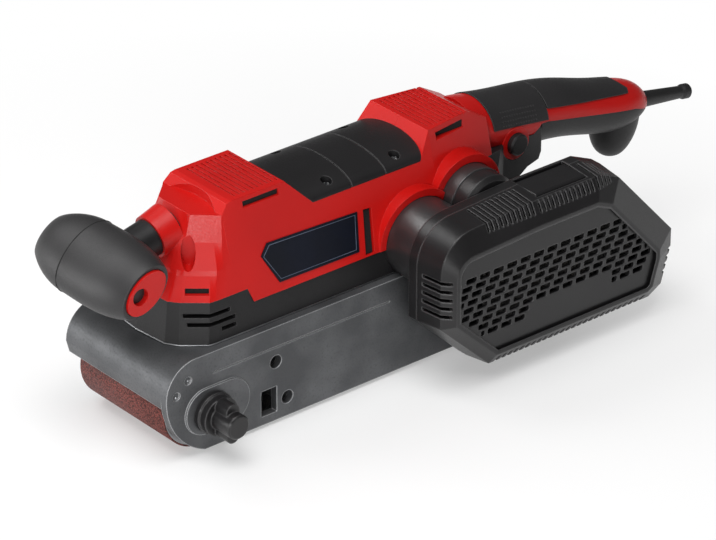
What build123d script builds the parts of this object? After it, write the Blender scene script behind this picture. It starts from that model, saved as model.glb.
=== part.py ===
from build123d import *
import math
import os

# Belt sander in millimetres. X runs from the nose to the rear handle, Y towards the open belt side, Z up.
# The origin is the centre of the sanding face.

# Clearances
running_clearance = 0.05
fit_gap = 0.3
wide = 60.0

# Sanding belt and rollers
belt_width = 75.0
belt_length = 533.0
belt_thickness = 1.0
roller_radius = 24.5
roller_rubber_thickness = 2.5
axle_radius = 5.0
bearing_outer = 13.0
bearing_width = 8.0
drive_bearing_outer = 11.0
belt_travel = 6.0
axle_spacing = (belt_length - 2 * math.pi * (roller_radius + belt_thickness / 2)) / 2
axis_z = roller_radius + belt_thickness
front_x = -axle_spacing / 2
rear_x = axle_spacing / 2
roller_half = belt_width / 2
roller_face = roller_radius - running_clearance

# Cast frame
plate_inner = roller_half + 4.0
plate_thickness = 5.0
plate_outer = plate_inner + plate_thickness
plate_bottom = 2.2
deck_gap = 5.0
deck_thickness = 5.0
deck_top = axis_z + roller_radius + belt_thickness + deck_gap + deck_thickness
deck_right = roller_half + 6.5
nose_wall = 4.0
nose_radius = 20.5
nose_overhang = 9.5
nose_centre_x = front_x - nose_overhang
nose_centre_z = deck_top - nose_radius
nose_edge_z = 33.0
rear_end = rear_x + roller_radius - 1.0
knob_boss_height = 1.5
shoe_front = -36.0
shoe_right = roller_half - 4.5
shoe_top = 40.0
shoe_wall = 5.0
pad_gap = 0.1
pad_thickness = 1.5
platen_thickness = 1.5
platen_half = 65.0
shoe_rear = platen_half - 5.0
shoe_bottom = belt_thickness + pad_gap + pad_thickness + platen_thickness
boss_wall = 4.0
boss_end = 12.0

# Tension carriage, spring and quick release lever
carriage_outer = plate_inner - fit_gap
carriage_thickness = 3.0
carriage_inner = carriage_outer - carriage_thickness
carriage_half = 8.0
carriage_rear = -54.0
bar_depth = 8.0
screw_radius = 2.4
axle_bore = screw_radius + running_clearance
spring_wire = 1.4
spring_mean = 5.0
spring_turns = 5
lever_x = -49.5
lever_y = roller_half + 3.5
lever_hub = 5.5
lever_tip = 3.0
lever_reach = 52.0
cam_hub = 4.2
cam_nose = 2.2
cam_throw = 6.6
cam_play = 1.0
pin_radius = 2.5
ear_gap = 7.0
ear_thickness = 4.0
ear_top = ear_gap + ear_thickness

# Motor and gear train
motor_z = 90.0
motor_front = -52.0
stator_radius = 25.5
stator_bore = 17.0
stator_front = 2.0
stator_rear = 50.0
air_gap = 0.8
shaft_radius = 4.0
pinion_seat = 3.0
motor_room = stator_radius + 0.7
lay_x = 98.0
lay_radius = 5.0
case_wall = 4.0
bearing_wall = 11.0
case_front = 66.0
case_rear = 119.5
case_left = 24.5
case_right = 21.0
case_half_height = 22.0
case_chamfer = 6.0
gear_rim = 16.5
gear_toe = 9.5
gear_teeth = 20
pinion_teeth = 9
pitch_slope = pinion_teeth / gear_teeth
tooth_play = 0.55
drive_pulley_radius = 11.0
drive_pulley_teeth = 18
driven_pulley_radius = 15.0
driven_pulley_teeth = 24
pulley_gap = 1.0
pulley_width = 7.5
pulley_inner = plate_outer + pulley_gap
pulley_outer = pulley_inner + pulley_width
tooth_belt_width = 5.5
tooth_belt_thickness = 1.6
drive_boss_radius = 20.0
drive_boss_bore = 9.0
cover_upper = 19.5
cover_lower = 24.0
cover_wall = 2.2
cover_outer = pulley_outer + 3.5

# Red housing, base band and motor cover
band_bottom = deck_top + fit_gap
band_top = 77.0
band_front_top = 85.0
band_step_x = -60.0
band_wall = 4.0
band_half = 41.0
side_half = 39.5
draft = 0.263
nose_front = -104.5
nose_ledge_z = 97.5
nose_top = 128.0
scoop_radius = 44.5
hump_front = -64.0
hump_rear = -24.0
hump_top = 134.0
saddle_z = 117.0
saddle_front = hump_rear + hump_top - saddle_z
saddle_rear = 70.5
rear_hump_front = 79.5
rear_hump_rear = 112.0
rear_hump_top = 132.0
rear_taper = 0.15
housing_end = 127.0
housing_floor = 102.0
shell_joint = 80.0
floor_front = 88.0
rib_pitch = 3.3
rib_width = 1.2
rib_depth = 0.8
slot_depth = 4.0
dome_height = 9.5
cover_thickness = 3.0
seam_width = 0.8
label_thickness = 0.6

# Screws: head, shank and the places of the two kinds
head_radius = 3.0
head_height = 2.0
head_depth = 3.5
shank_radius = 1.5
joint_screw_length = 40.0
joint_screws = ((band_step_x - 10.0, nose_ledge_z + 7.5), (hump_rear, hump_top - 11.0),
                (rear_hump_front + 2.5, rear_hump_top - 11.0), (rear_hump_rear - 2.0, rear_hump_top - 13.0))
cover_screw_length = 9.0
cover_seat = 2.0
cover_screws = ((8.0, -22.0), (8.0, 22.0), (57.0, -22.0), (57.0, 22.0))

# Rear handle
collar_x = 133.0
grip_proud = 0.7
grip_joint_x = 176.0
grip_end_x = 247.0
handle_end_x = 263.0
shell_end = grip_joint_x - 5.0
button_x = 150.0
button_z = 99.5
button_radius = 6.5
button_rim = 3.5
trigger_front = 183.0
trigger_rear = 207.0
trigger_half = 8.0
trigger_pin = 1.5
sleeve_x = handle_end_x - 13.0
sleeve_z = 85.5
sleeve_droop = 9.0
sleeve_length = 56.5
sleeve_flange = 6.5
sleeve_neck = 5.0
flange_length = 5.5

# Front grip
grip_x = -131.8
grip_z = 108.8
grip_tilt = 38.0
grip_long = 22.9
grip_short = 14.5
grip_near = 40.4
grip_far = 42.9
grip_seam_y = 13.0
neck_radius = 11.0
neck_mouth = (-97.5, 0, 114.3)
neck_drop = 2.4
collar_radius = 12.6
collar_flare = 1.2
cap_long = 14.4
cap_short = 9.5
cap_depth = 2.0
cap_hole = 3.4
cap_hole_shift = 4.0

# Dust port and box
port_x = 61.0
port_z = 77.5
port_inner = 33.0
port_wall = 2.0
drum_radius = 24.0
spigot_radius = 14.0
spigot_length = 13.0
box_inner = cover_outer + 1.5
box_joint = box_inner + 7.0
box_shoulder = box_inner + 25.0
box_face = box_inner + 32.0
box_lean = 2.0
box_wall = 2.5
box_corner = drum_radius + 1.0
box_bottom = 8.5
box_top = 105.0
box_end = 215.4
box_toe = 37.5
heel_z = 38.0
tooth_pitch = 4.4
tooth_gap = 2.2
tooth_depth = 5.5
face_inset = 10.5
face_shift_x = -4.5
face_shift_z = -2.0
window_rim = 3.0
grille_recess = 1.8
grille_thickness = 2.2
grille_edge = 3.2
brick_pitch = 9.0
brick_length = 6.4
row_pitch = 4.6
brick_height = 2.7
latch_front = 110.0
latch_rear = 148.0
latch_thickness = 4.0
latch_pin = 1.0


def left_plane(y):
    """Upright plane at the given Y, facing the dust box."""
    return Plane.XZ.offset(-y)


def side_at(z):
    """Half width of the housing at a height; its sides lean inwards."""
    return side_half - draft * (z - band_top)


def turn_across(x, z, *outline):
    """Turn an outline of (y, radius) points about the line along Y through (x, z)."""
    with BuildSketch(Plane(origin=(x, 0, z), x_dir=(0, 1, 0), z_dir=(1, 0, 0))) as profile:
        with BuildLine():
            Polyline(*outline, close=True)
        make_face()
    revolve(profile.sketch, axis=Axis((x, 0, z), (0, 1, 0)))


def turn_along(z, *outline, x=0.0, droop=0.0, mode=Mode.ADD):
    """Turn an outline of (length, radius) points about a line from (x, z) along X, drooping by some degrees."""
    slope = math.radians(droop)
    along = (math.cos(slope), 0, -math.sin(slope))
    with BuildSketch(Plane(origin=(x, 0, z), x_dir=along, z_dir=(0, -1, 0))) as profile:
        with BuildLine():
            Polyline(*outline, close=True)
        make_face()
    revolve(profile.sketch, axis=Axis((x, 0, z), along), mode=mode)


def ring_across(x, z, y_low, y_high, outer, inner):
    """Ring about the line along Y through (x, z)."""
    turn_across(x, z, (y_low, inner), (y_low, outer), (y_high, outer), (y_high, inner))


def ring_along(z, x_low, x_high, outer, inner):
    """Ring about the line along X at height z."""
    turn_along(z, (x_low, inner), (x_low, outer), (x_high, outer), (x_high, inner))


def side_cut(y_low, y_high, mode, *outline):
    """Extrude an outline of (x, z) points between two Y positions."""
    with BuildSketch(left_plane(y_high)) as profile:
        with BuildLine():
            Polyline(*outline, close=True)
        make_face()
    extrude(profile.sketch, amount=y_high - y_low, mode=mode)


def block(one, other, mode=Mode.ADD):
    """Box between two opposite corners."""
    with Locations([(Vector(*one) + Vector(*other)) / 2]):
        Box(*(abs(far - near) for near, far in zip(one, other)), mode=mode)


def bore_across(x, z, y_low, y_high, radius):
    """Cut a round hole along Y."""
    with BuildSketch(left_plane(y_high)) as profile:
        with Locations((x, z)):
            Circle(radius)
    extrude(profile.sketch, amount=y_high - y_low, mode=Mode.SUBTRACT)


def drive_outline(grow):
    """Outline round both pulleys of the toothed belt, grown on all sides."""
    with Locations((lay_x, motor_z)):
        Circle(cover_upper + grow)
    with Locations((rear_x, axis_z)):
        Circle(cover_lower + grow)
    make_hull()


# Abrasive belt
with BuildPart() as sanding_belt:
    with BuildSketch(left_plane(roller_half)):
        with Locations((0, axis_z)):
            SlotCenterToCenter(axle_spacing, 2 * axis_z)
            SlotCenterToCenter(axle_spacing, 2 * roller_radius, mode=Mode.SUBTRACT)
    extrude(amount=belt_width)

# Cast frame: side plate, deck, nose over the front roller, shoe above the platen and drive bearing tube
with BuildPart() as cast_frame:
    nose_start = (nose_centre_x, deck_top)
    nose_tip = (nose_centre_x - nose_radius, nose_centre_z)
    chin = (front_x - 4.0, plate_bottom)
    heel = (rear_x, plate_bottom)
    back = (rear_end, axis_z)
    arch = math.sqrt(0.5)
    with BuildSketch(left_plane(-plate_inner)):
        with BuildLine():
            CenterArc((nose_centre_x, nose_centre_z), nose_radius, 90, 90)
            ThreePointArc(nose_tip, (front_x - roller_radius, axis_z - 6.0), chin)
            Line(chin, heel)
            ThreePointArc(
                heel,
                (rear_x + (rear_end - rear_x) * arch, axis_z - (axis_z - plate_bottom) * arch),
                back,
            )
            Polyline(back, (rear_end, deck_top), nose_start)
        make_face()
    extrude(amount=plate_thickness)
    block((nose_centre_x, -plate_inner, deck_top - deck_thickness), (rear_end, deck_right, deck_top))
    hood_radius = nose_radius - nose_wall
    with BuildSketch(left_plane(deck_right)):
        with BuildLine():
            CenterArc((nose_centre_x, nose_centre_z), nose_radius, 90, 90)
            Polyline(nose_tip, (nose_tip[0] + 2.0, nose_edge_z), (nose_tip[0] + 5.0, nose_edge_z),
                     (nose_centre_x - hood_radius, nose_centre_z))
            CenterArc((nose_centre_x, nose_centre_z), hood_radius, 180, -90)
            Line((nose_centre_x, nose_centre_z + hood_radius), nose_start)
        make_face()
    extrude(amount=deck_right + plate_inner)
    # Raised boss under the knob
    with BuildSketch(left_plane(-plate_outer)):
        with Locations((front_x + 4.5, axis_z + 1.0)):
            SlotOverall(44.0, 28.0)
    extrude(amount=knob_boss_height)
    # Openings through the plate: two round holes, a window and the slot of the front axle
    with BuildSketch(left_plane(-plate_inner)):
        with Locations((-48.0, 39.0), (-40.0, 14.0)):
            Circle(4.0)
        with Locations((-53.0, 15.5)):
            Rectangle(11.0, 16.0)
        with Locations((front_x + belt_travel / 2, axis_z)):
            SlotOverall(belt_travel + 2 * axle_radius + 1.0, 2 * axle_radius + 1.0)
    extrude(amount=plate_thickness + knob_boss_height, mode=Mode.SUBTRACT)
    # Two dimples behind the nose and a parting groove along the plate
    with BuildSketch(left_plane(-plate_outer)):
        with Locations((front_x - 15.0, 49.0), (front_x - 23.0, 42.0)):
            Circle(2.5)
    extrude(amount=-1.0, mode=Mode.SUBTRACT)
    block((-92.0, -plate_outer, 47.6), (34.0, -plate_outer + 0.6, 48.4), mode=Mode.SUBTRACT)
    # Cored shoe that carries the platen
    block((shoe_front, -plate_inner, shoe_bottom), (shoe_rear, shoe_right, shoe_top))
    pocket_x = (shoe_rear - shoe_front - 4 * shoe_wall) / 3
    pocket_y = (shoe_right + plate_inner - 3 * shoe_wall) / 2
    with BuildSketch(Plane.XY.offset(shoe_bottom + shoe_wall)):
        with Locations(((shoe_front + shoe_rear) / 2, (shoe_right - plate_inner) / 2)):
            with GridLocations(pocket_x + shoe_wall, pocket_y + shoe_wall, 3, 2):
                Rectangle(pocket_x, pocket_y)
    extrude(amount=shoe_top, mode=Mode.SUBTRACT)
    # Two ears that hold the pin of the tension lever
    for ear_bottom in (-ear_top, ear_gap):
        with BuildSketch(Plane.XY.offset(axis_z + ear_bottom)):
            with BuildLine():
                Polyline((shoe_front + shoe_wall, shoe_right), (shoe_front, shoe_right - shoe_wall),
                         (lever_x - lever_hub, lever_y - lever_hub), (lever_x - lever_hub, lever_y + 3.5),
                         (lever_x + lever_hub, lever_y + 3.5), close=True)
            make_face()
            with Locations((lever_x, lever_y)):
                Circle(pin_radius, mode=Mode.SUBTRACT)
        extrude(amount=ear_thickness)
    ring_across(rear_x, axis_z, -plate_inner, boss_end, drive_bearing_outer + boss_wall, drive_bearing_outer)
    bore_across(rear_x, axis_z, -plate_outer, -plate_inner, drive_bearing_outer)

# Platen and its graphite pad
with BuildPart() as platen_pad:
    block((-platen_half, -roller_half, belt_thickness + pad_gap),
          (platen_half, roller_half, belt_thickness + pad_gap + pad_thickness))
with BuildPart() as platen:
    block((-platen_half, -roller_half, shoe_bottom - platen_thickness), (platen_half, roller_half, shoe_bottom))
    for side in (-1, 1):
        side_cut(-roller_half, roller_half, Mode.ADD,
                 (side * (platen_half - platen_thickness), shoe_bottom),
                 (side * platen_half, shoe_bottom - platen_thickness),
                 (side * (platen_half + 4.0), shoe_bottom + 4.0),
                 (side * (platen_half + 2.5), shoe_bottom + 5.0))

# Front roller, its axle, bearings and the sliding carriage
bearing_inset = 3.5
with BuildPart() as front_roller:
    turn_across(front_x, axis_z, (-roller_half, bearing_outer), (-roller_half, roller_face),
                (roller_half, roller_face), (roller_half, bearing_outer), (20.0, bearing_outer),
                (20.0, 19.0), (-20.0, 19.0), (-20.0, bearing_outer))
with BuildPart() as front_bearings:
    for y in (-roller_half + bearing_inset, roller_half - bearing_inset - bearing_width):
        ring_across(front_x, axis_z, y, y + bearing_width, bearing_outer - running_clearance, axle_radius)
with BuildPart() as front_axle:
    ring_across(front_x, axis_z, -plate_outer - 1.0, roller_half - 1.5, axle_radius, axle_bore)
cam_bottom = axis_z + 1.5
cam_top = axis_z + ear_gap - fit_gap
arm_right = lever_y - cam_throw - cam_nose - 0.7
lip_front = lever_x + cam_nose + cam_play
lip_rear = lip_front + 3.0
with BuildPart() as tension_carriage:
    side_cut(-carriage_outer, -carriage_inner, Mode.ADD,
             (front_x - 12.0, axis_z - 10.0), (carriage_rear, axis_z - carriage_half),
             (carriage_rear, axis_z + carriage_half), (front_x - 12.0, axis_z + 10.0))
    block((carriage_rear - bar_depth, -carriage_inner, axis_z - carriage_half),
          (carriage_rear, arm_right, axis_z + carriage_half))
    # Arm and lip that the cam of the lever pushes back
    block((carriage_rear, arm_right - 3.5, cam_bottom), (lip_rear, arm_right, cam_top))
    block((lip_front, arm_right, cam_bottom), (lip_rear, lever_y - cam_hub, cam_top))
    bore_across(front_x, axis_z, -carriage_outer, -carriage_inner, axle_radius)

# Tension spring between the carriage and the shoe
with BuildPart() as tension_spring:
    spring_start = carriage_rear + spring_wire / 2
    spring_length = shoe_front - carriage_rear - spring_wire
    with BuildLine() as coil:
        Helix(spring_length / spring_turns, spring_length, spring_mean, center=(spring_start, 0, axis_z),
              direction=(1, 0, 0))
    with BuildSketch(Plane(origin=coil.line @ 0, z_dir=coil.line % 0)):
        Rectangle(spring_wire, spring_wire)
    sweep(path=coil.line, is_frenet=True)

# Quick release lever with its cam, on the open side, and its upright pin
with BuildPart() as lever_pin:
    with BuildSketch(Plane.XY.offset(axis_z - ear_top)):
        with Locations((lever_x, lever_y)):
            Circle(pin_radius)
    extrude(amount=2 * ear_top)
lever_bottom = axis_z - ear_gap + fit_gap
lever_top = cam_bottom - 0.5
with BuildPart() as tension_lever:
    with BuildSketch(Plane.XY.offset(lever_bottom)):
        with Locations((lever_x, lever_y)):
            Circle(lever_hub)
        with Locations((lever_x + lever_reach, lever_y - 1.0)):
            Circle(lever_tip)
        make_hull()
    extrude(amount=lever_top - lever_bottom)
    with BuildSketch(Plane.XY.offset(lever_top)):
        with Locations((lever_x, lever_y)):
            Circle(cam_hub)
        with Locations((lever_x, lever_y - cam_throw)):
            Circle(cam_nose)
        make_hull()
    extrude(amount=cam_top - lever_top)
    with Locations((lever_x, lever_y, cam_top)):
        Hole(pin_radius + running_clearance)

# Drive roller, its rubber, shaft, bearings and pulley
core_radius = roller_face - roller_rubber_thickness
hub_left = boss_end + 2.0
hub_right = hub_left + 10.0
roller_well = drive_bearing_outer + boss_wall + 2.0
with BuildPart() as drive_roller:
    turn_across(rear_x, axis_z, (-roller_half, roller_well), (-roller_half, core_radius),
                (roller_half, core_radius), (roller_half, roller_well), (hub_right, roller_well),
                (hub_right, axle_radius), (hub_left, axle_radius), (hub_left, roller_well))
with BuildPart() as roller_rubber:
    ring_across(rear_x, axis_z, -roller_half, roller_half, roller_face, core_radius)
with BuildPart() as drive_shaft:
    ring_across(rear_x, axis_z, -pulley_outer - 1.0, hub_right + 2.0, axle_radius, 0.0)
with BuildPart() as drive_bearings:
    for y in (-plate_inner + 1.5, boss_end - bearing_width - 2.0):
        ring_across(rear_x, axis_z, y, y + bearing_width, drive_bearing_outer,
                    axle_radius + running_clearance)


def toothed_pulley(x, z, radius, bore, teeth):
    """Pulley with square tooth gaps, turned about Y."""
    with BuildSketch(left_plane(-pulley_inner)) as profile:
        with Locations((x, z)):
            Circle(radius)
            with PolarLocations(radius, teeth):
                Rectangle(2.0, math.pi * radius / teeth, mode=Mode.SUBTRACT)
            Circle(bore, mode=Mode.SUBTRACT)
    extrude(profile.sketch, amount=pulley_width)


with BuildPart() as driven_pulley:
    toothed_pulley(rear_x, axis_z, driven_pulley_radius, axle_radius, driven_pulley_teeth)
with BuildPart() as drive_pulley:
    toothed_pulley(lay_x, motor_z, drive_pulley_radius, lay_radius, drive_pulley_teeth)
with BuildPart() as toothed_belt:
    belt_mid = (pulley_inner + pulley_outer) / 2
    for grow, mode in ((fit_gap + tooth_belt_thickness, Mode.ADD), (fit_gap, Mode.SUBTRACT)):
        with BuildSketch(left_plane(-belt_mid + tooth_belt_width / 2)):
            with Locations((lay_x, motor_z)):
                Circle(drive_pulley_radius + grow)
            with Locations((rear_x, axis_z)):
                Circle(driven_pulley_radius + grow)
            make_hull()
        extrude(amount=tooth_belt_width, mode=mode)

# Tracking knob and its screw in the bore of the front axle
knob_seat = plate_outer + knob_boss_height + 0.5
wing_seat = knob_seat + 8.0
with BuildPart() as tracking_screw:
    ring_across(front_x, axis_z, -wing_seat - 1.5, -20.0, screw_radius, 0.0)
with BuildPart() as tracking_knob:
    turn_across(front_x, axis_z, (-knob_seat, 0), (-knob_seat, 12.5), (-knob_seat - 3.0, 12.5),
                (-knob_seat - 3.5, 11.5), (-wing_seat, 11.5), (-wing_seat, 7.3),
                (-wing_seat - 14.5, 7.3), (-wing_seat - 15.5, 6.3), (-wing_seat - 15.5, 0))
    with BuildSketch(left_plane(-wing_seat)):
        with Locations((front_x, axis_z)):
            SlotOverall(24.0, 9.0, rotation=90)
    extrude(amount=10.0)
    bore_across(front_x, axis_z, -wing_seat - 1.5, -knob_seat, screw_radius)

# Motor: field stack, coils, armature, commutator, fan, bearings and brushes
commutator_front = -24.0
commutator_rear = -7.0
commutator_radius = 11.0
front_bearing_x = -45.0
rear_bearing_x = case_front + 1.0
fan_x = stator_rear + 6.5
with BuildPart() as stator:
    ring_along(motor_z, stator_front, stator_rear, stator_radius, stator_bore)
with BuildPart() as field_coils:
    for x_low, x_high in ((stator_front - 8.0, stator_front), (stator_rear, stator_rear + 5.0)):
        ring_along(motor_z, x_low, x_high, stator_radius - 1.5, stator_bore + 1.0)
with BuildPart() as motor_shaft:
    turn_along(motor_z, (front_bearing_x - 1.0, 0), (front_bearing_x - 1.0, shaft_radius),
               (case_front + bearing_wall - 0.5, shaft_radius), (case_front + bearing_wall - 0.5, pinion_seat),
               (lay_x - gear_toe, pinion_seat), (lay_x - gear_toe, 0))
with BuildPart() as armature:
    core = stator_bore - air_gap
    turn_along(motor_z, (stator_front - 7.0, shaft_radius), (stator_front - 7.0, 11.0), (stator_front + 1.0, 13.0),
               (stator_front + 1.0, core), (stator_rear - 1.0, core), (stator_rear - 1.0, 13.0),
               (stator_rear + 4.0, 11.0), (stator_rear + 4.0, shaft_radius))
with BuildPart() as commutator:
    ring_along(motor_z, commutator_front, commutator_rear, commutator_radius, shaft_radius)
with BuildPart() as cooling_fan:
    ring_along(motor_z, fan_x, fan_x + 1.5, 23.5, shaft_radius)
    ring_along(motor_z, fan_x + 1.5, fan_x + 8.0, 8.0, shaft_radius)
    with BuildSketch(Plane.YZ.offset(fan_x + 1.5)):
        with Locations((0, motor_z)):
            with PolarLocations(15.5, 12):
                Rectangle(14.5, 1.6, rotation=25)
    extrude(amount=6.0)
with BuildPart() as motor_bearings:
    ring_along(motor_z, front_bearing_x, front_bearing_x + 7.0, 9.5, shaft_radius + running_clearance)
    ring_along(motor_z, rear_bearing_x, rear_bearing_x + bearing_width, bearing_outer,
               shaft_radius + running_clearance)
with BuildPart() as end_shield:
    ring_along(motor_z, front_bearing_x, front_bearing_x + 7.0, motor_room - fit_gap, 9.5)
brush_x = (commutator_front + commutator_rear) / 2
with BuildPart() as brush_holders:
    for side in (-1, 1):
        block((brush_x - 5.5, side * 12.0, motor_z - 5.0), (brush_x + 5.5, side * 24.0, motor_z + 5.0))
        block((brush_x - 3.5, side * 12.0, motor_z - 3.0), (brush_x + 3.5, side * 24.0, motor_z + 3.0),
              mode=Mode.SUBTRACT)
with BuildPart() as carbon_brushes:
    for side in (-1, 1):
        block((brush_x - 3.3, side * (commutator_radius + fit_gap), motor_z - 2.8),
              (brush_x + 3.3, side * 22.0, motor_z + 2.8))

# Gear case, layshaft and bevel gears; both cones point at the crossing of the two shafts
case_bottom = motor_z - case_half_height
case_top = motor_z + case_half_height
case_room = case_left + fit_gap
with BuildPart() as gear_case:
    block((case_front, -case_left, case_bottom), (case_rear, case_right, case_top))
    block((case_front + bearing_wall, -case_left + bearing_wall, case_bottom + case_wall),
          (case_rear - case_wall, case_right - bearing_wall, case_top - case_wall), mode=Mode.SUBTRACT)
    with BuildSketch(Plane.YZ.offset(case_front)):
        with Locations((0, motor_z)):
            Circle(bearing_outer)
    extrude(amount=bearing_wall, mode=Mode.SUBTRACT)
    bore_across(lay_x, motor_z, -case_left, case_right, bearing_outer)
    chamfer(gear_case.edges().filter_by(Axis.X).group_by(Axis.Z)[-1], length=case_chamfer)
with BuildPart() as layshaft_bearings:
    for y in (-case_left + 1.0, case_right - 1.0 - bearing_width):
        ring_across(lay_x, motor_z, y, y + bearing_width, bearing_outer, lay_radius + running_clearance)
with BuildPart() as layshaft:
    ring_across(lay_x, motor_z, -pulley_outer - 1.0, case_right - 2.0, lay_radius, 0.0)
gear_back = case_left - bearing_wall - 0.5


def gear_cone(reach):
    """Depth of the gear face at a distance from the crossing."""
    return -pitch_slope * reach - tooth_play


def pinion_cone(reach):
    """Radius of the pinion at a distance from the crossing."""
    return pitch_slope * reach - tooth_play


with BuildPart() as bevel_gear:
    turn_across(lay_x, motor_z, (-gear_back, lay_radius), (-gear_back, 10.0),
                (gear_cone(gear_rim) - 4.0, gear_rim), (gear_cone(gear_rim), gear_rim),
                (gear_cone(gear_toe), gear_toe), (gear_cone(gear_toe), lay_radius))
    with BuildSketch(left_plane(0)):
        with Locations((lay_x, motor_z)):
            with PolarLocations((gear_rim + gear_toe) / 2, gear_teeth):
                Rectangle(gear_rim - gear_toe + 2.0, 1.5)
    extrude(amount=-gear_cone(gear_rim) + 1.0, mode=Mode.SUBTRACT)
with BuildPart() as bevel_pinion:
    heel_reach = gear_rim + 2.0
    turn_along(motor_z, (lay_x - heel_reach, pinion_seat), (lay_x - heel_reach, pinion_cone(heel_reach)),
               (lay_x - gear_toe, pinion_cone(gear_toe)), (lay_x - gear_toe, pinion_seat))
    with BuildSketch(Plane.YZ.offset(lay_x - heel_reach)):
        with Locations((0, motor_z)):
            with PolarLocations(pinion_cone(heel_reach), pinion_teeth):
                Rectangle(2.4, 1.8)
    extrude(amount=heel_reach - gear_toe, mode=Mode.SUBTRACT)

# Drive side: boss between housing and belt, cover over the toothed belt
web_thickness = 2.4
with BuildPart() as drive_boss:
    ring_across(lay_x, motor_z, -plate_outer, -case_left - fit_gap, drive_boss_radius, drive_boss_bore)
    with BuildSketch(left_plane(-plate_outer + web_thickness)):
        drive_outline(0.0)
        with Locations((rear_x, band_bottom)):
            Rectangle(120.0, 100.0, align=(Align.CENTER, Align.MAX), mode=Mode.SUBTRACT)
        with Locations((lay_x, motor_z)):
            Circle(drive_boss_bore, mode=Mode.SUBTRACT)
    extrude(amount=web_thickness)
with BuildPart() as drive_cover:
    with BuildSketch(left_plane(-plate_outer)):
        drive_outline(0.0)
    extrude(amount=cover_outer - plate_outer)
    chamfer(drive_cover.faces().sort_by(Axis.Y)[0].edges(), length=2.5)
    with BuildSketch(left_plane(-plate_outer)):
        drive_outline(-cover_wall)
    extrude(amount=cover_outer - plate_outer - cover_wall, mode=Mode.SUBTRACT)

# Rear handle form, shared by the red band, soft grips and lower shell: x, z, half width and half height
handle_sections = (
    (housing_end - 12.0, 110.5, 21.5, 18.5),
    (collar_x, 109.0, 20.8, 18.4),
    (165.0, 104.5, 19.5, 18.0),
    (205.0, 97.5, 18.5, 17.0),
    (240.0, 88.5, 17.5, 15.5),
    (handle_end_x - 8.0, 87.0, 14.5, 12.5),
    (handle_end_x, 86.0, 10.0, 8.0),
)
# Lower edge of the red band, and the lower edges of the two soft grips
band_under = (
    (housing_end - 12.0, housing_floor),
    (collar_x, housing_floor),
    (shell_end - 5.5, 100.0),
    (shell_end, 105.0),
    (grip_joint_x, 104.6),
    (handle_end_x - 15.0, 89.0),
    (handle_end_x + 5.0, 80.5),
)
grip_front_low = ((collar_x, 112.5), (grip_joint_x, 106.0))
grip_rear_low = ((grip_joint_x, 112.0), (grip_end_x - 9.0, 100.0), (grip_end_x - 2.0, 98.8), (grip_end_x, 100.5),
                 (grip_end_x - 6.0, 106.0))
sky = 150.0


def handle_form(grow):
    """Handle tube lofted through oval cross sections."""
    ovals = []
    for x, z, half_width, half_height in handle_sections:
        with BuildSketch(Plane.YZ.offset(x)) as oval:
            with Locations((0, z)):
                Ellipse(half_width + grow, half_height + grow)
        ovals.append(oval.sketch)
    loft(ovals)


with BuildPart() as grip_front:
    handle_form(grip_proud)
    side_cut(-wide, wide, Mode.INTERSECT, *grip_front_low, (grip_joint_x, sky), (collar_x, sky))
with BuildPart() as grip_rear:
    handle_form(grip_proud)
    side_cut(-wide, wide, Mode.INTERSECT, (grip_joint_x + seam_width, grip_rear_low[0][1]), *grip_rear_low[1:],
             (grip_end_x - 6.0, sky), (grip_joint_x + seam_width, sky))
with BuildPart() as soft_grips:
    add(grip_front.part)
    add(grip_rear.part)


def nose_outline(z, front, half, rear, tip=(2.0, 0.56), facet=(6.3, 10.9), flare=18.8):
    """Plan of the nose at a height: blunt tip, a slanted facet on each side, straight flanks."""
    flank = [(front + tip[0], tip[1] * half), (front + facet[0], half - facet[1]), (front + flare, half - 0.5),
             (front + flare + 5.7, half), (rear, half)]
    with BuildSketch(Plane.XY.offset(z)) as plan:
        with BuildLine() as outline:
            Polyline((front, 0), *flank, *[(x, -y) for x, y in reversed(flank)], close=True)
        make_face(outline.line.edges())
    return plan.sketch


def nose_facet(x, y, z):
    """Upright plane on a slanted facet of the nose, facing outwards."""
    across = 1 if y > 0 else -1
    return Plane(origin=(x, y, z), x_dir=(0.77, across * 0.64, 0), z_dir=(-0.64, across * 0.77, 0))


# Nose above the base band: height, setback of the front, tip, side facet and flare of each plan
nose_plans = (
    (band_front_top, 0.0, (2.0, 0.56), (6.3, 10.9), 18.8),
    (nose_ledge_z, 7.5, (2.0, 0.56), (6.3, 10.9), 18.8),
    (nose_ledge_z + 2.5, 8.0, (1.5, 0.42), (5.5, 12.2), 19.0),
    (nose_top - 14.2, 12.0, (1.7, 0.34), (8.5, 11.8), 21.5),
    (nose_top, 23.7, (0.0, 0.27), (0.0, 12.1), 12.5),
)


def taper_rear():
    """Narrow the body behind the front of the rear hump, on both sides."""
    for side in (-1, 1):
        edge = Plane(origin=(rear_hump_front, side * side_at(hump_top), hump_top), z_dir=(rear_taper, side, draft))
        split(bisect_by=edge, keep=Keep.BOTTOM)


# Left face of the housing, which leans inwards
left_face = Plane(origin=(0, -side_half, band_top), x_dir=(1, 0, 0), z_dir=(0, -1, draft))

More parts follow.
